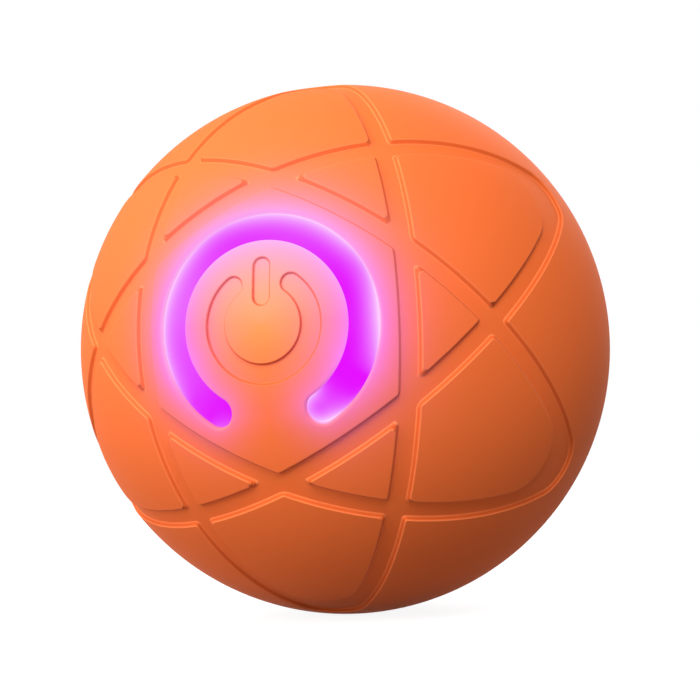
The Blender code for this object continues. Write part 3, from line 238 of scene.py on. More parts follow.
class GlowSizes(bpy.types.PropertyGroup):
    """The ring's light in the soft cover."""

    low: share("Below", "Strength of the glow below the ring", 0.25)
    sides: share("Sides", "How much stronger the glow is on the ring's sides", 0.5)
    sides_height: share("Sides' height", "Where its full strength begins, as a share of the height", 0.3)
    top: share("Top", "How much stronger the glow is at the top", 0.12)
    inside: share("Inside", "How much stronger the glow is on the button", 0.12)
    inside_low: share("Inside below", "How much stronger still it is at the button's bottom", 0.3)
    spread: length("Spread", "How far the glow reaches beside the ring", 0.0022)
    spread_top: length("Spread at the top", "How much farther it reaches at the top", 0.0003)
    spread_inside: length("Spread inside", "How much farther it reaches on the button", 0.001)
    spread_inside_top: length("Spread inside at the top", "How much farther still, at the top", 0.0005)
    # The glow is weaker where shade is painted on the walls
    in_painted_shade: share("In folds", "How much of the glow is lost in a fold", 0.7)
    duller_outside: share("Duller outside", "How much less pale the glow is outside the ring", 0.35)
    edge: share("Edge", "Strength of the bright edge outside the ring", 0.765)
    edge_spread: length("Edge's spread", "How far the bright edge reaches", 0.00012)
    bed: share("Bed", "How pale the ring is where it is deepest", 0.006)
    rim: share("Rim", "How much paler the ring is towards its rim", 0.5)
    line: share("Line", "How much paler still the ring is right at its rim", 0.3)
    line_width: length("Line's width", "How far that pale line reaches into the ring", 0.00025)
    cap_width: length("Cap's width", "How far the ring's pale end reaches into the ring", 0.0006)
    # Painted highlight on the button's face: how far it reaches and where it is brightest
    highlight_width: length("Warm width", "How far the button's warm light reaches to its sides", 0.009)
    highlight_height: length("Warm height", "How far the button's warm light reaches up and down", 0.0075)
    highlight_above: length("Warm place", "How far the warmest place lies above the middle", 0.0038)
    highlight_edge: length("Warm edge", "Width over which the warm light fades at the ring", 0.002)


class BallColours(bpy.types.PropertyGroup):
    """Colours of the visible pieces."""

    rubber: colour("Rubber", "Colour of the soft cover", (0.97, 0.173, 0.034))
    # Painted highlight: the cover's colour along the edges of its grooves' walls
    edge_highlight: colour("Edges", "Colour of the cover along its grooves' edges", (1.0, 0.24, 0.075))
    # Painted shade: the cover's colour is multiplied by this along the walls of grooves and symbol
    painted_shade: colour("Folds", "What the cover's colour is multiplied by in a fold", (0.72, 0.56, 0.48))
    halo: colour("Halo", "Light that spreads into the cover beside the ring", (1.0, 0.25, 1.0))
    # Paler tint of the halo: above the ring it is a painted highlight
    halo_top: colour("Halo at the top", "Light in the cover above the ring", (1.0, 0.50, 1.0))
    # Painted highlight: colour of the light painted on the button's face
    button_highlight: colour("Button's warmth", "Light through the button's face", (0.45, 0.18, 0.07))
    ring_deep: colour("Ring", "Light of the ring where it is deepest", (0.78, 0.0, 1.0))
    ring_pale: colour("Ring's rim", "Light of the ring where it is palest", (1.0, 0.62, 1.0))
    backdrop: colour("Backdrop", "Colour behind the ball", (1.0, 1.0, 1.0))


def sizes(name):
    """One of this ball's groups of sizes or colours."""
    return getattr(bpy.context.scene, f"dog_ball_{name}")


def edge_distance(points, offset, corner):
    """Signed distance to one edge of a groove loop in the loop's own axes, positive outside it."""
    skin = sizes("skin")
    tilt = skin.loop_tilt
    shift = offset / RADIUS - skin.side_shift
    corner = corner / RADIUS
    pole = np.array((math.cos(tilt), 0, -math.sin(tilt)))
    reach = math.acos(-math.sin(shift - corner) / math.sin(tilt))
    centre = np.array((0, math.sin(reach), math.cos(reach)))
    outward = np.array((0, math.cos(reach), -math.sin(reach)))
    normal = np.cross(centre, pole)
    normal *= np.sign(normal @ outward)
    folded = np.abs(points)
    side = np.arcsin(np.clip(folded @ pole, -1, 1)) - shift
    end = np.arccos(np.clip(folded @ centre, -1, 1)) - corner
    return np.where(folded @ normal > 0, end, side) * RADIUS


def groove_field(points):
    """Signed distance to the nearest groove's edge, negative inside a groove.

    Where two grooves cross, the corners of the panels between them are rounded.
    """
    skin = sizes("skin")
    nearest = np.full(len(points), FAR)
    square = np.zeros(len(points))
    for azimuth in LOOP_AZIMUTHS:
        cosine, sine = math.cos(math.radians(azimuth)), math.sin(math.radians(azimuth))
        x, y, z = points.T
        local = np.stack((x * cosine + z * sine, z * cosine - x * sine, np.abs(y)), 1)
        outer = edge_distance(local, skin.groove_width / 2, skin.outer_corner)
        inner = edge_distance(local, -skin.groove_width / 2, skin.inner_corner)
        field = np.maximum(outer, -inner)
        nearest = np.minimum(nearest, field)
        square += np.maximum(skin.panel_corner - field, 0) ** 2
    return np.where(square > 0, skin.panel_corner - np.sqrt(square), nearest)


def on_face(points):
    """(x, z) on the button's face, from the middle of ring and button."""
    ring = sizes("ring")
    return points[:, 0] * RADIUS - ring.aside, points[:, 2] * RADIUS - ring.above


def from_middle(points):
    return np.hypot(*on_face(points))


def open_ring(points, middle, half_width, gap_azimuth, half_gap):
    """Signed distance to a C with round ends, seen along the button's axis."""
    x, z = on_face(points)
    cosine, sine = math.cos(gap_azimuth), math.sin(gap_azimuth)
    along, beside = x * cosine + z * sine, np.abs(z * cosine - x * sine)
    turn = np.arctan2(beside, along)
    end = np.hypot(along - middle * math.cos(half_gap), beside - middle * math.sin(half_gap))
    return np.where(turn > half_gap, np.abs(np.hypot(x, z) - middle), end) - half_width


def slot_field(points):
    """Signed distance to the lit ring's slot, negative inside it."""
    ring = sizes("ring")
    return open_ring(points, ring.inner + ring.width / 2, ring.width / 2, -math.pi / 2, ring.gap)


def icon_field(points):
    """Signed distance to the power symbol, negative inside its strokes."""
    ring = sizes("ring")
    arc = open_ring(points, ring.icon_radius, ring.icon_stroke / 2, math.pi / 2, ring.icon_gap)
    half = ring.icon_bar / 2
    x, z = on_face(points)
    middle = np.clip(z, ring.icon_bar_bottom + half, ring.icon_bar_top - half)
    return np.minimum(arc, np.hypot(x, z - middle) - half)


def port_field(points):
    """Signed distance to the port plug's outline, negative inside it."""
    middle, width, height = plug_outline()
    straight = (width - height) / 2
    x, y, z = points.T * RADIUS
    field = np.hypot(y - middle, z - np.clip(z, -straight, straight)) - height / 2
    return np.where(x < 0, field, FAR)


def notch_field(points):
    """Signed distance to the notch near the upper end of the plug."""
    middle, width, _ = plug_outline()
    port = sizes("port")
    x, y, z = points.T * RADIUS
    field = np.hypot(y - middle, z - width / 2 + port.notch_inset) - port.notch_radius
    return np.where(x < 0, field, FAR)


def seam_field(points):
    """Distance along the skin from the edge where the halves meet."""
    return RADIUS * np.arcsin(np.clip(np.abs(points[:, 1]), 0, 1)) - SEAM_HALF_GAP


def pressed(field, soft):
    """1 inside, 0 outside, with an S-shaped wall of twice this width."""
    t = np.clip((field + soft) / (2 * soft), 0, 1)
    return 1 - t**4 * (35 - t * (84 - t * (70 - 20 * t)))


def sunk(points):
    """How deep the skin lies in its grooves here, whose walls go down in two steps."""
    skin = sizes("skin")
    field, half = groove_field(points), skin.groove_wall - skin.groove_soft
    steps = [pressed(field + way * half, skin.groove_soft) for way in (1, -1)]
    return skin.groove_depth / 2 * sum(steps)


def rounded(field, radius):
    """How far a rounded edge drops, this far from it."""
    t = np.clip(radius - field, 0, radius)
    return radius - np.sqrt(radius**2 - t**2)


def front_surface(points):
    """Distance of the front skin from the ball's centre, in each direction."""
    skin, ring, port = sizes("skin"), sizes("ring"), sizes("port")
    drop = sunk(points) + ring.icon_depth * pressed(icon_field(points), ring.icon_soft)
    drop += rounded(slot_field(points), ring.fillet)
    drop += rounded(port_field(points) - port.gap, port.fillet)
    return RADIUS - drop - rounded(seam_field(points), skin.seam_fillet)


def rear_surface(points):
    return RADIUS - sunk(points) - rounded(seam_field(points), sizes("skin").seam_fillet)


def ring_surface(points):
    """The lit ring lies a little below the skin and is rounded along its edges."""
    ring = sizes("ring")
    return RADIUS - ring.recess - rounded(-slot_field(points), ring.fillet)


def plug_surface(points):
    port = sizes("port")
    drop = rounded(-port_field(points), port.fillet)
    return RADIUS - drop - port.notch_depth * pressed(notch_field(points), port.notch_soft)


def wall_levels(soft, steps):
    """Levels of a distance field across a soft wall."""
    return [soft * (2 * i / steps - 1) for i in range(steps + 1)]


def fillet_levels(radius):
    """Levels of a distance field across a rounded edge."""
    return [radius * (1 - math.cos(math.radians(turn))) for turn in FILLET_ANGLES]


def grid(rings):
    """A half sphere of unit directions round -Y, with rings at these angles from the pole."""
    count = RING_POINTS
    turns = np.arange(count) * math.tau / count
    points = [np.array([[0.0, -1.0, 0.0]])]
    for theta in rings:
        wide, deep = math.sin(theta), np.full(count, -math.cos(theta))
        points.append(np.stack((wide * np.cos(turns), deep, wide * np.sin(turns)), 1))
    here = np.arange(count)
    after = (here + 1) % count
    faces = [np.stack((np.zeros(count, int), 1 + here, 1 + after), 1)]
    for i in range(len(rings) - 1):
        low, high = 1 + i * count, 1 + (i + 1) * count
        if i % 2:
            faces.append(np.stack((low + here, high + here, high + after), 1))
            faces.append(np.stack((low + here, high + after, low + after), 1))
        else:
            faces.append(np.stack((low + here, high + here, low + after), 1))
            faces.append(np.stack((low + after, high + here, high + after), 1))
    return np.concatenate(points), np.concatenate(faces)


def split(points, faces, field, level):
    """Cuts every triangle that crosses this level of the field, exactly along it."""
    value = field(points) - level
    value[np.abs(value) < TOUCH] = 0
    side = np.sign(value)[faces]
    crossing = (side.max(1) > 0) & (side.min(1) < 0)
    kept, triangles, side = faces[~crossing], faces[crossing], side[crossing]
    if not len(triangles):
        return points, faces
    total = side.sum(1)
    alone = np.where(total == 0, np.argmax(side == 0, 1), np.argmax(side == -total[:, None], 1))
    order = (alone[:, None] + np.arange(3)) % 3
    triangles = np.take_along_axis(triangles, order, 1)
    whole = total != 0
    # Corner a is alone on its side of the level, so the edges a-b and a-c are cut.
    # Corner d lies on the level, so only the edge e-f is.
    a, b, c = triangles[whole].T
    d, e, f = triangles[~whole].T
    crossed = (np.stack((a, b), 1), np.stack((a, c), 1), np.stack((e, f), 1))
    pairs = np.sort(np.concatenate(crossed), 1)
    edges, index = np.unique(pairs, axis=0, return_inverse=True)
    index = index.reshape(-1) + len(points)
    start, end = points[edges[:, 0]], points[edges[:, 1]]
    rising = value[edges[:, 1]] > value[edges[:, 0]]
    low, high = np.zeros(len(edges)), np.ones(len(edges))
    for _ in range(HALVINGS):
        middle = (low + high) / 2
        place = start + (end - start) * middle[:, None]
        place /= np.linalg.norm(place, axis=1)[:, None]
        above = (field(place) > level) == rising
        high = np.where(above, middle, high)
        low = np.where(above, low, middle)
    ab, ac, ef = index[: len(a)], index[len(a) : 2 * len(a)], index[2 * len(a) :]
    everything = np.concatenate((points, place))
    first = np.linalg.norm(everything[ab] - everything[c], axis=1)
    second = np.linalg.norm(everything[b] - everything[ac], axis=1)
    near = first <= second
    pieces = [
        kept,
        np.stack((a, ab, ac), 1),
        np.stack((ab, b, c), 1)[near],
        np.stack((ab, c, ac), 1)[near],
        np.stack((ab, b, ac), 1)[~near],
        np.stack((b, c, ac), 1)[~near],
        np.stack((d, e, ef), 1),
        np.stack((d, ef, f), 1),
    ]
    return everything, np.concatenate(pieces)


def spaced(start, end, step):
    """Angles from start to end, without the start, at most this far apart along the skin."""
    count = max(1, math.ceil((end - start) * RADIUS / step))
    return [start + (end - start) * (i + 1) / count for i in range(count)]


def seam_rings():
    """Angles of the rings that round the skin off at its seam, from the pole."""
    edge = math.pi / 2 - math.asin(SEAM_HALF_GAP / RADIUS)
    levels = fillet_levels(sizes("skin").seam_fillet)
    return [edge - level / RADIUS for level in levels[::-1]]


def groove_levels():
    return wall_levels(sizes("skin").groove_wall, GROOVE_STEPS)


@functools.lru_cache(maxsize=None)
def front_mesh():
    """Directions and triangles of the whole front half, split along all of its edges."""
    ring, port = sizes("ring"), sizes("port")
    window = math.asin((ring.inner + ring.width + FINE_MARGIN) / RADIUS)
    last = seam_rings()
    rings = spaced(0, window, FINE_STEP) + spaced(window, last[0], COARSE_STEP) + last[1:]
    points, faces = grid(rings)
    cuts = [(groove_field, groove_levels())]
    cuts.append((slot_field, fillet_levels(ring.fillet)))
    cuts.append((slot_field, [-level for level in fillet_levels(ring.fillet)[1:]]))
    cuts.append((icon_field, wall_levels(ring.icon_soft, SYMBOL_STEPS)))
    cuts.append((port_field, [port.gap + level for level in fillet_levels(port.fillet)]))
    cuts.append((port_field, [-level for level in fillet_levels(port.fillet)]))
    cuts.append((notch_field, wall_levels(port.notch_soft, SYMBOL_STEPS)))
    for field, levels in cuts:
        for level in levels:
            points, faces = split(points, faces, field, level)
    return points, faces


def normals_of(surface, points):
    """Outward unit normals of the surface, from its slope in two directions."""
    up = np.where(np.abs(points[:, 2:]) < NEAR_POLE, [[0.0, 0.0, 1.0]], [[1.0, 0.0, 0.0]])
    first = np.cross(up, points)
    first /= np.linalg.norm(first, axis=1)[:, None]
    second = np.cross(points, first)
    slopes = []
    for way in (first, second):
        ends = []
        for sign in (1, -1):
            moved = points + way * sign * SLOPE_REACH
            moved /= np.linalg.norm(moved, axis=1)[:, None]
            ends.append(moved * surface(moved)[:, None])
        slopes.append(ends[0] - ends[1])
    normals = np.cross(*slopes)
    normals /= np.linalg.norm(normals, axis=1)[:, None]
    return normals * np.sign((normals * points).sum(1))[:, None]


def build(name, surface, points, faces, on_edge, depth, attributes=()):
    """A mesh object of these triangles, with a wall going in along the edges that on_edge picks.

    The walls of the two halves lean together until they touch, so nobody sees in through the seam.
    """
    used, faces = np.unique(faces, return_inverse=True)
    faces = faces.reshape(-1, 3)
    points = points[used]
    places = points * surface(points)[:, None]
    normals = normals_of(surface, points)
    extra = {label: function(points) for label, function in attributes}
    sides = np.concatenate((faces[:, (0, 1)], faces[:, (1, 2)], faces[:, (2, 0)]))
    key = np.sort(sides, 1)
    _, index, times = np.unique(key, axis=0, return_inverse=True, return_counts=True)
    border = sides[times[index.reshape(-1)] == 1]
    border = border[on_edge(points[border].mean(1))]
    rim, local = np.unique(border, return_inverse=True)
    local = local.reshape(-1, 2) + len(points)
    wall = np.concatenate(
        (
            np.stack((border[:, 1], border[:, 0], local[:, 0]), 1),
            np.stack((border[:, 1], local[:, 0], local[:, 1]), 1),
        )
    )
    deep = places[rim] - points[rim] * depth
    deep[np.abs(deep[:, 1]) < NEAR_SEAM, 1] = 0
    places = np.concatenate((places, deep))
    normals = np.concatenate((normals, normals[rim]))
    faces = np.concatenate((faces, wall))
    mesh = bpy.data.meshes.new(name)
    mesh.from_pydata(places.tolist(), [], faces.tolist())
    mesh.shade_smooth()
    mesh.normals_split_custom_set_from_vertices(normals.tolist())
    for label, values in extra.items():
        values = np.concatenate((values, values[rim]))
        data = mesh.attributes.new(label, "FLOAT", "POINT").data
        data.foreach_set("value", values.astype(np.float32))
    made = bpy.data.objects.new(name, mesh)
    bpy.context.collection.objects.link(made)
    return made


def in_front(points):
    return points[:, 1] < 0


def rise(points):
    """1 above the button's axis, 0 beside it and -1 below it."""
    x, z = on_face(points)
    return z / np.maximum(np.hypot(x, z), TOUCH)


def turn_of(points):
    """Angle about the button's axis in degrees, 0 on the right and 90 at the top."""
    x, z = on_face(points)
    return np.degrees(np.arctan2(z, x))


def near(turn, middle, spread):
    """1 at this angle in degrees, falling off over the spread."""
    away = (turn - middle + 180) % 360 - 180
    return np.exp(-((away / spread) ** 2))


def bumps(points, table):
    """What a table of bumps of light adds here, round the ring."""
    turn = turn_of(points)
    return sum(amount * near(turn, middle, spread) for amount, middle, spread in table)


def across(points):
    """0 inside the lit ring, rising evenly to 1 outside it."""
    ring = sizes("ring")
    return np.clip((from_middle(points) - ring.inner) / ring.width, 0, 1)


def outward(points):
    """0 inside the lit ring, rising smoothly to 1 outside it."""
    part = across(points)
    return part * part * (3 - 2 * part)


def painted_shade_amount(points):
    """Painted shade: 1 along the middle of the symbol's walls, less along the grooves' walls and 0
    elsewhere.
    """
    away = np.abs(groove_field(points))
    groove = WALL_SHADE * np.clip(2 - 2 * away / sizes("skin").groove_wall, 0, 1)
    groove += MIDDLE_SHADE * np.clip(MIDDLE_REACH - away / MIDDLE_WIDTH, 0, 1)
    icon = np.abs(icon_field(points)) / sizes("ring").icon_soft + ~in_front(points)
    return np.maximum(np.clip(SYMBOL_SHADE * (1 - icon), 0, 1), groove)


def painted_edge_highlight(points):
    """A painted highlight: 1 along both edges of a groove's wall, where the rubber is painted paler, and
    0 elsewhere.
    """
    skin = sizes("skin")
    start, end = skin.groove_wall - skin.groove_soft, skin.groove_wall
    return np.interp(np.abs(groove_field(points)), (start, (start + end) / 2, end), (0, 1, 0))


def bright_edge(points):
    """Up to 1 along the outer edge of the ring's slot, where the skin is lit through."""
    glow = sizes("glow")
    strength = glow.edge + bumps(points, EDGE_BUMPS)
    away = np.maximum(slot_field(points), 0)
    return strength * outward(points) * np.exp(-away / glow.edge_spread)


def halo(points):
    """How strongly the ring's light spreads into the skin here, from 0 to 1."""
    glow = sizes("glow")
    up = rise(points)
    height = (up + 1) / 2
    inside = 1 - outward(points)
    strength = glow.low + glow.sides * np.minimum(1, height / glow.sides_height) + glow.top * height
    strength *= 1 + inside * (glow.inside + glow.inside_low * np.maximum(-up, 0))
    spread = glow.spread + glow.spread_top * up
    spread += inside * (glow.spread_inside + glow.spread_inside_top * up)
    away = np.maximum(slot_field(points), 0)
    light = np.minimum(strength * np.exp(-away / spread), 1) * (1 - glow.in_painted_shade * painted_shade_amount(points))
    return np.maximum(light, bright_edge(points)) * in_front(points)


def halo_paleness(points):
    """The halo is paler above the button, a painted highlight, and along the ring's outer edge."""
    above = rise(points) * (1 - sizes("glow").duller_outside * outward(points))
    return np.maximum(above, bright_edge(points))


def painted_button_highlight(points):
    """A painted highlight: how much warm light is painted on the button's face, most a little above its
    middle.
    """
    ring, glow = sizes("ring"), sizes("glow")
    x, z = on_face(points)
    spread = np.exp(-((x / glow.highlight_width) ** 2) - ((z - glow.highlight_above) / glow.highlight_height) ** 2)
    edge = np.clip((ring.inner - from_middle(points)) / glow.highlight_edge, 0, 1)
    return spread * edge * (1 - painted_shade_amount(points)) * in_front(points)


def ring_paleness(points):
    """How pale the ring's light is: most along its outer rim and on its left."""
    glow = sizes("glow")
    part = across(points)
    bed = glow.bed + bumps(points, BED_BUMPS)
    rim = glow.rim * np.maximum(1 + bumps(points, RIM_BUMPS), 0) * part**RIM_STEEPNESS
    to_rim = (1 - part) * sizes("ring").width
    line = (glow.line + bumps(points, LINE_BUMPS)) * np.exp(-to_rim / glow.line_width)
    to_edge = np.minimum(slot_field(points), 0)
    cap = bumps(points, CAP_BUMPS) * np.exp(to_edge / glow.cap_width)
    return (bed + rim + line + cap) / PALEST


def no_glow(points):
    return np.zeros(len(points))


def link(tree, source, target):
    tree.links.new(source, target)


def add(tree, kind, **inputs):
    """A node with some inputs set, each named by its socket with spaces as underscores."""
    node = tree.nodes.new(kind)
    for name, value in inputs.items():
        node.inputs[name.replace("_", " ")].default_value = value
    return node


def attribute(tree, name):
    node = add(tree, "ShaderNodeAttribute")
    node.attribute_name = name
    return node.outputs["Fac"]


def new_material(name):
    made = bpy.data.materials.new(name)
    made.use_nodes = True
    return made, made.node_tree, made.node_tree.nodes["Principled BSDF"]


def mixed(tree, factor, first, second, way="MIX"):
    """The second colour mixed into the first. Each is a colour or another node's output."""
    node = add(tree, "ShaderNodeMix")
    node.data_type = "RGBA"
    node.blend_type = way
    link(tree, factor, node.inputs["Factor"])
    for name, value in (("A", first), ("B", second)):
        if isinstance(value, bpy.types.NodeSocket):
            link(tree, value, node.inputs[name])
        else:
            node.inputs[name].default_value = (*value, 1)
    return node.outputs["Result"]


@functools.lru_cache(maxsize=None)
def rubber_material():
    """Matte soft rubber with a fine grain, lit from within round the ring, with painted shade along its
    walls and painted highlights along the grooves' edges and on the button.
    """
    colours = sizes("colours")
    made, tree, shader = new_material("soft_rubber")
    coords = add(tree, "ShaderNodeTexCoord")
    grain = add(tree, "ShaderNodeTexNoise", Scale=4200.0, Detail=2.0, Roughness=0.6)
    cloud = add(tree, "ShaderNodeTexNoise", Scale=60.0, Detail=3.0, Roughness=0.5)
    for noise in (grain, cloud):
        link(tree, coords.outputs["Object"], noise.inputs["Vector"])
    bump = add(tree, "ShaderNodeBump", Strength=0.35, Distance=0.02 * MM)
    link(tree, grain.outputs["Fac"], bump.inputs["Height"])
    link(tree, bump.outputs["Normal"], shader.inputs["Normal"])
    clouded = [value * CLOUD_SHADE for value in colours.rubber]
    tone = mixed(tree, cloud.outputs["Fac"], clouded, colours.rubber)
    # Painted highlight: paler along the edges of the grooves' walls
    edged = mixed(tree, attribute(tree, "edge_highlight"), tone, colours.edge_highlight)
    # Painted shade: the colour is darker along the walls of grooves and symbol
    dark = add(tree, "ShaderNodeMapRange", From_Min=0.5)
    link(tree, attribute(tree, "painted_shade_amount"), dark.inputs["Value"])
    folded = mixed(tree, dark.outputs["Result"], edged, colours.painted_shade, "MULTIPLY")
    link(tree, folded, shader.inputs["Base Color"])
    rough = add(tree, "ShaderNodeMapRange", To_Min=0.70, To_Max=0.80)
    link(tree, cloud.outputs["Fac"], rough.inputs["Value"])
    link(tree, rough.outputs["Result"], shader.inputs["Roughness"])
    shader.inputs["Specular IOR Level"].default_value = 0.18
    shader.inputs["Sheen Weight"].default_value = 0.03
    shader.inputs["Sheen Roughness"].default_value = 0.3
    # Painted highlight: warm light painted on the button's face
    shader.inputs["Emission Color"].default_value = (*colours.button_highlight, 1)
    link(tree, attribute(tree, "button_highlight"), shader.inputs["Emission Strength"])
    light = mixed(tree, attribute(tree, "pale"), colours.halo, colours.halo_top)
    emission = add(tree, "ShaderNodeEmission")
    link(tree, light, emission.inputs["Color"])
    lit = add(tree, "ShaderNodeMixShader")
    link(tree, attribute(tree, "glow"), lit.inputs["Fac"])
    link(tree, shader.outputs["BSDF"], lit.inputs[1])
    link(tree, emission.outputs["Emission"], lit.inputs[2])
    link(tree, lit.outputs["Shader"], tree.nodes["Material Output"].inputs["Surface"])
    return made


def ring_material():
    """The lit ring: deep magenta inside, washed out to pink along its outer rim."""
    colours = sizes("colours")
    made, tree, shader = new_material("lit_ring")
    light = mixed(tree, attribute(tree, "pale"), colours.ring_deep, colours.ring_pale)
    link(tree, light, shader.inputs["Emission Color"])
    shader.inputs["Emission Strength"].default_value = 1.0
    shader.inputs["Base Color"].default_value = (0, 0, 0, 1)
    shader.inputs["Roughness"].default_value = 0.5
    shader.inputs["Specular IOR Level"].default_value = 0.0
    return made


# The values that the rubber's material reads at each point, with and without the ring's light
WALLS = (("painted_shade_amount", painted_shade_amount), ("edge_highlight", painted_edge_highlight))
HALO = (("glow", halo), ("pale", halo_paleness), ("button_highlight", painted_button_highlight), *WALLS)
NO_HALO = (("glow", no_glow), ("pale", no_glow), ("button_highlight", no_glow), *WALLS)


def dress(obj, material):
    obj.data.materials.append(material)
    return obj


class DOGBALL_OT_front_cover(bpy.types.Operator):
    """Build the front half of the grooved cover"""

    bl_idname = "dogball.front_cover"
    bl_label = "Front cover"

    def execute(self, context):
        ring, port = sizes("ring"), sizes("port")
        points, faces = front_mesh()
        middle = points[faces].mean(1)
        outside = from_middle(middle) > ring.inner + ring.width
        kept = outside & (slot_field(middle) > 0) & (port_field(middle) > port.gap)

        def on_edge(places):
            slot = np.abs(slot_field(places)) < ON_EDGE
            port_edge = np.abs(port_field(places) - port.gap) < ON_EDGE
            return slot | port_edge | (seam_field(places) < ON_SEAM)

        wall = sizes("skin").wall
        skin = build("front_skin", front_surface, points, faces[kept], on_edge, wall, HALO)
        dress(skin, rubber_material())
        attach(skin, "ball")
        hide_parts("front_cover")
        return {"FINISHED"}


class DOGBALL_OT_rear_cover(bpy.types.Operator):
    """Build the rear half of the grooved cover"""

    bl_idname = "dogball.rear_cover"
    bl_label = "Rear cover"

    def execute(self, context):
        last = seam_rings()
        points, faces = grid(spaced(0, last[0], COARSE_STEP) + last[1:])
        for level in groove_levels():
            points, faces = split(points, faces, groove_field, level)
        points = points * (1, -1, 1)
        skin = build(
            "rear_skin",
            rear_surface,
            points,
            faces[:, ::-1],
            lambda places: seam_field(places) < ON_SEAM,
            sizes("skin").wall,
            NO_HALO,
        )
        dress(skin, rubber_material())
        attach(skin, "ball")
        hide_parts("rear_cover")
        return {"FINISHED"}


class DOGBALL_OT_button(bpy.types.Operator):
    """Build the button with the tongue that joins it to the cover"""

    bl_idname = "dogball.button"
    bl_label = "Button"

    def execute(self, context):
        ring = sizes("ring")
        points, faces = front_mesh()
        middle = points[faces].mean(1)
        outer = ring.inner + ring.width
        kept = (from_middle(middle) < outer) & (slot_field(middle) > 0)

        def on_edge(places):
            return np.abs(slot_field(places)) < ON_EDGE

        wall = sizes("skin").wall
        skin = build("button_skin", front_surface, points, faces[kept], on_edge, wall, HALO)
        dress(skin, rubber_material())
        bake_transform(skin)
        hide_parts("button_pad")
        return {"FINISHED"}


class DOGBALL_OT_lit_ring(bpy.types.Operator):
    """Build the lit ring round the button"""

    bl_idname = "dogball.lit_ring"
    bl_label = "Lit ring"

    def execute(self, context):
        points, faces = front_mesh()
        middle = points[faces].mean(1)
        kept = slot_field(middle) < 0
        ring = build(
            "lit_ring",
            ring_surface,
            points,
            faces[kept],
            lambda places: np.full(len(places), True),
            sizes("ring").wall,
            [("pale", ring_paleness)],
        )
        dress(ring, ring_material())
        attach(ring, "ball")
        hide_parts("light_guide")
        return {"FINISHED"}


class DOGBALL_OT_port_plug(bpy.types.Operator):
    """Build the plug of the charging port"""

    bl_idname = "dogball.port_plug"
    bl_label = "Port plug"

    def execute(self, context):
        points, faces = front_mesh()
        middle = points[faces].mean(1)
        kept = port_field(middle) < 0
        inner_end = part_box("port_plug")[1][0]
        plug = build(
            "plug_skin",
            plug_surface,
            points,
            faces[kept],
            lambda places: np.full(len(places), True),
            RADIUS + inner_end * PLUG_END,
            NO_HALO,
        )
        bpy.ops.object.select_all(action="DESELECT")
        plug.select_set(True)
        bpy.context.view_layer.objects.active = plug
        bpy.ops.object.mode_set(mode="EDIT")
        bpy.ops.mesh.select_all(action="DESELECT")
        bpy.ops.mesh.select_mode(type="EDGE")
        bpy.ops.mesh.select_non_manifold()
        bpy.ops.mesh.fill()
        bpy.ops.object.mode_set(mode="OBJECT")
        dress(plug, rubber_material())
        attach(plug, "plug")
        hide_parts("port_plug")
        return {"FINISHED"}


def area_light(name, place, power):
    """A round white lamp that faces the ball."""
    data = bpy.data.lights.new(name, "AREA")
    data.shape = "DISK"
    data.size = LAMP_SIZE
    data.energy = power
    made = bpy.data.objects.new(name, data)
    bpy.context.collection.objects.link(made)
    made.location = place
    made.rotation_euler = Vector(place).to_track_quat("Z", "Y").to_euler()
    return made


def seen_or_not(tree, seen, unseen, target):
    """Links one shader for what is seen, straight or mirrored, and another for the light it gives."""
    path = add(tree, "ShaderNodeLightPath")
    mix = add(tree, "ShaderNodeMixShader")
    visible = path.outputs["Is Camera Ray"]
    for ray in ("Is Glossy Ray", "Is Transmission Ray"):
        either = add(tree, "ShaderNodeMath")
        either.operation = "MAXIMUM"
        link(tree, visible, either.inputs[0])
        link(tree, path.outputs[ray], either.inputs[1])
        visible = either.outputs["Value"]
    link(tree, visible, mix.inputs["Fac"])
    link(tree, unseen, mix.inputs[1])
    link(tree, seen, mix.inputs[2])
    link(tree, mix.outputs["Shader"], target)


def pale_floor(backdrop):
    """A floor as pale as the backdrop, which still keeps the ball's shadow."""
    made, tree, shader = new_material("pale_floor")
    shader.inputs["Base Color"].default_value = (0.20, 0.20, 0.20, 1)
    shader.inputs["Roughness"].default_value = 0.9
    bright = add(tree, "ShaderNodeEmission", Color=(*backdrop, 1), Strength=0.90)
    lit = add(tree, "ShaderNodeAddShader")
    link(tree, bright.outputs["Emission"], lit.inputs[0])
    link(tree, shader.outputs["BSDF"], lit.inputs[1])
    output = tree.nodes["Material Output"]
    seen_or_not(tree, lit.outputs["Shader"], shader.outputs["BSDF"], output.inputs["Surface"])
    return made


def studio_world(backdrop):
    """A plain backdrop that gives only a little light of its own."""
    made = bpy.data.worlds.new("studio")
    made.use_nodes = True
    tree = made.node_tree
    tree.nodes.clear()
    seen = add(tree, "ShaderNodeBackground", Color=(*backdrop, 1), Strength=1.0).outputs["Background"]
    unseen = add(tree, "ShaderNodeBackground", Color=(1, 1, 1, 1), Strength=0.12).outputs["Background"]
    output = add(tree, "ShaderNodeOutputWorld")
    seen_or_not(tree, seen, unseen, output.inputs["Surface"])
    return made


def photo_camera():
    """A camera that sees the ball as the photograph does."""
    towards = Vector(CAMERA_SIDE).normalized()
    right = Vector(CAMERA_UP).cross(towards).normalized()
    up = towards.cross(right)
    data = bpy.data.cameras.new("camera")
    data.lens = CAMERA_LENS
    data.sensor_width = CAMERA_SENSOR
    data.shift_x, data.shift_y = CAMERA_SHIFT
    data.clip_start = CAMERA_NEAREST
    made = bpy.data.objects.new("camera", data)
    bpy.context.collection.objects.link(made)
    turn = Matrix((right, up, towards)).transposed().to_4x4()
    made.matrix_world = Matrix.Translation(towards * CAMERA_RADII_AWAY * RADIUS) @ turn
    return made


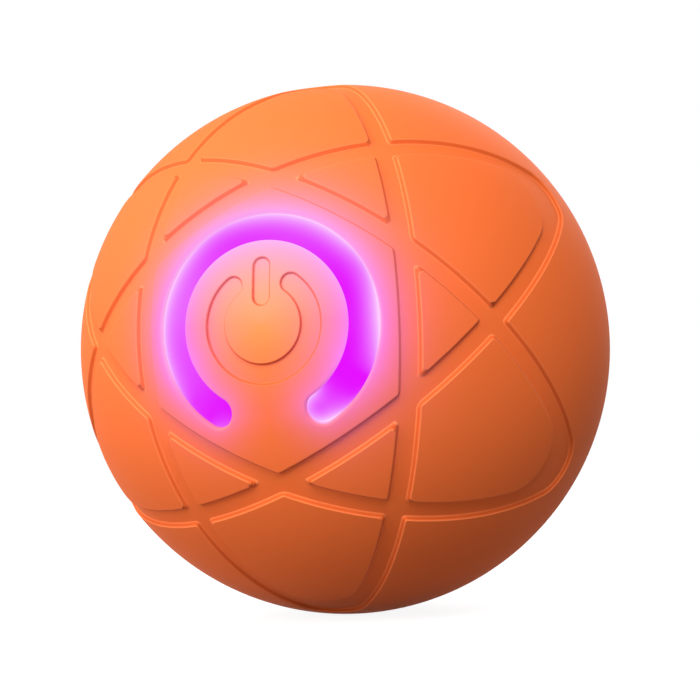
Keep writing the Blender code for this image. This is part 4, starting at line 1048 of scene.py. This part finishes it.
class DOGBALL_OT_stage(bpy.types.Operator):
    """Set up the studio: floor, backdrop, lights and camera"""

    bl_idname = "dogball.stage"
    bl_label = "Studio"

    def execute(self, context):
        backdrop = sizes("colours").backdrop
        bpy.ops.object.select_all(action="DESELECT")
        bpy.ops.mesh.primitive_plane_add(size=FLOOR_SIZE, location=(0, 0, -RADIUS))
        floor = bpy.context.active_object
        floor.name = "floor"
        floor.data.materials.append(pale_floor(backdrop))
        context.scene.world = studio_world(backdrop)
        for name, place, power in LAMPS:
            area_light(name, place, power)
        context.scene.camera = photo_camera()
        context.scene.view_settings.view_transform = "Standard"
        return {"FINISHED"}


OPERATORS = (
    DOGBALL_OT_front_cover,
    DOGBALL_OT_rear_cover,
    DOGBALL_OT_button,
    DOGBALL_OT_lit_ring,
    DOGBALL_OT_port_plug,
    DOGBALL_OT_stage,
)

GROUPS = {
    "skin": SkinSizes,
    "ring": RingSizes,
    "port": PortSizes,
    "glow": GlowSizes,
    "colours": BallColours,
}


class DOGBALL_PT_panel(bpy.types.Panel):
    """Lists the ball's pieces, sizes and colours"""

    bl_label = "Dog ball"
    bl_idname = "DOGBALL_PT_panel"
    bl_space_type = "VIEW_3D"
    bl_region_type = "UI"
    bl_category = "Dog ball"

    def draw(self, context):
        for kind in OPERATORS:
            self.layout.operator(kind.bl_idname)
        for name, kind in GROUPS.items():
            box = self.layout.box()
            box.label(text=kind.__doc__)
            for prop in kind.__annotations__:
                box.prop(sizes(name), prop)


def register():
    for name, kind in GROUPS.items():
        bpy.utils.register_class(kind)
        setattr(bpy.types.Scene, f"dog_ball_{name}", bpy.props.PointerProperty(type=kind))
    for kind in (*OPERATORS, DOGBALL_PT_panel):
        bpy.utils.register_class(kind)


def unregister():
    for kind in (*OPERATORS, DOGBALL_PT_panel):
        bpy.utils.unregister_class(kind)
    for name, kind in GROUPS.items():
        delattr(bpy.types.Scene, f"dog_ball_{name}")
        bpy.utils.unregister_class(kind)


def main():
    register()
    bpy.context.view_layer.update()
    bpy.ops.dogball.front_cover()
    bpy.ops.dogball.rear_cover()
    bpy.ops.dogball.button()
    bpy.ops.dogball.lit_ring()
    bpy.ops.dogball.port_plug()
    bpy.ops.dogball.stage()


if __name__ == "__main__":
    main()
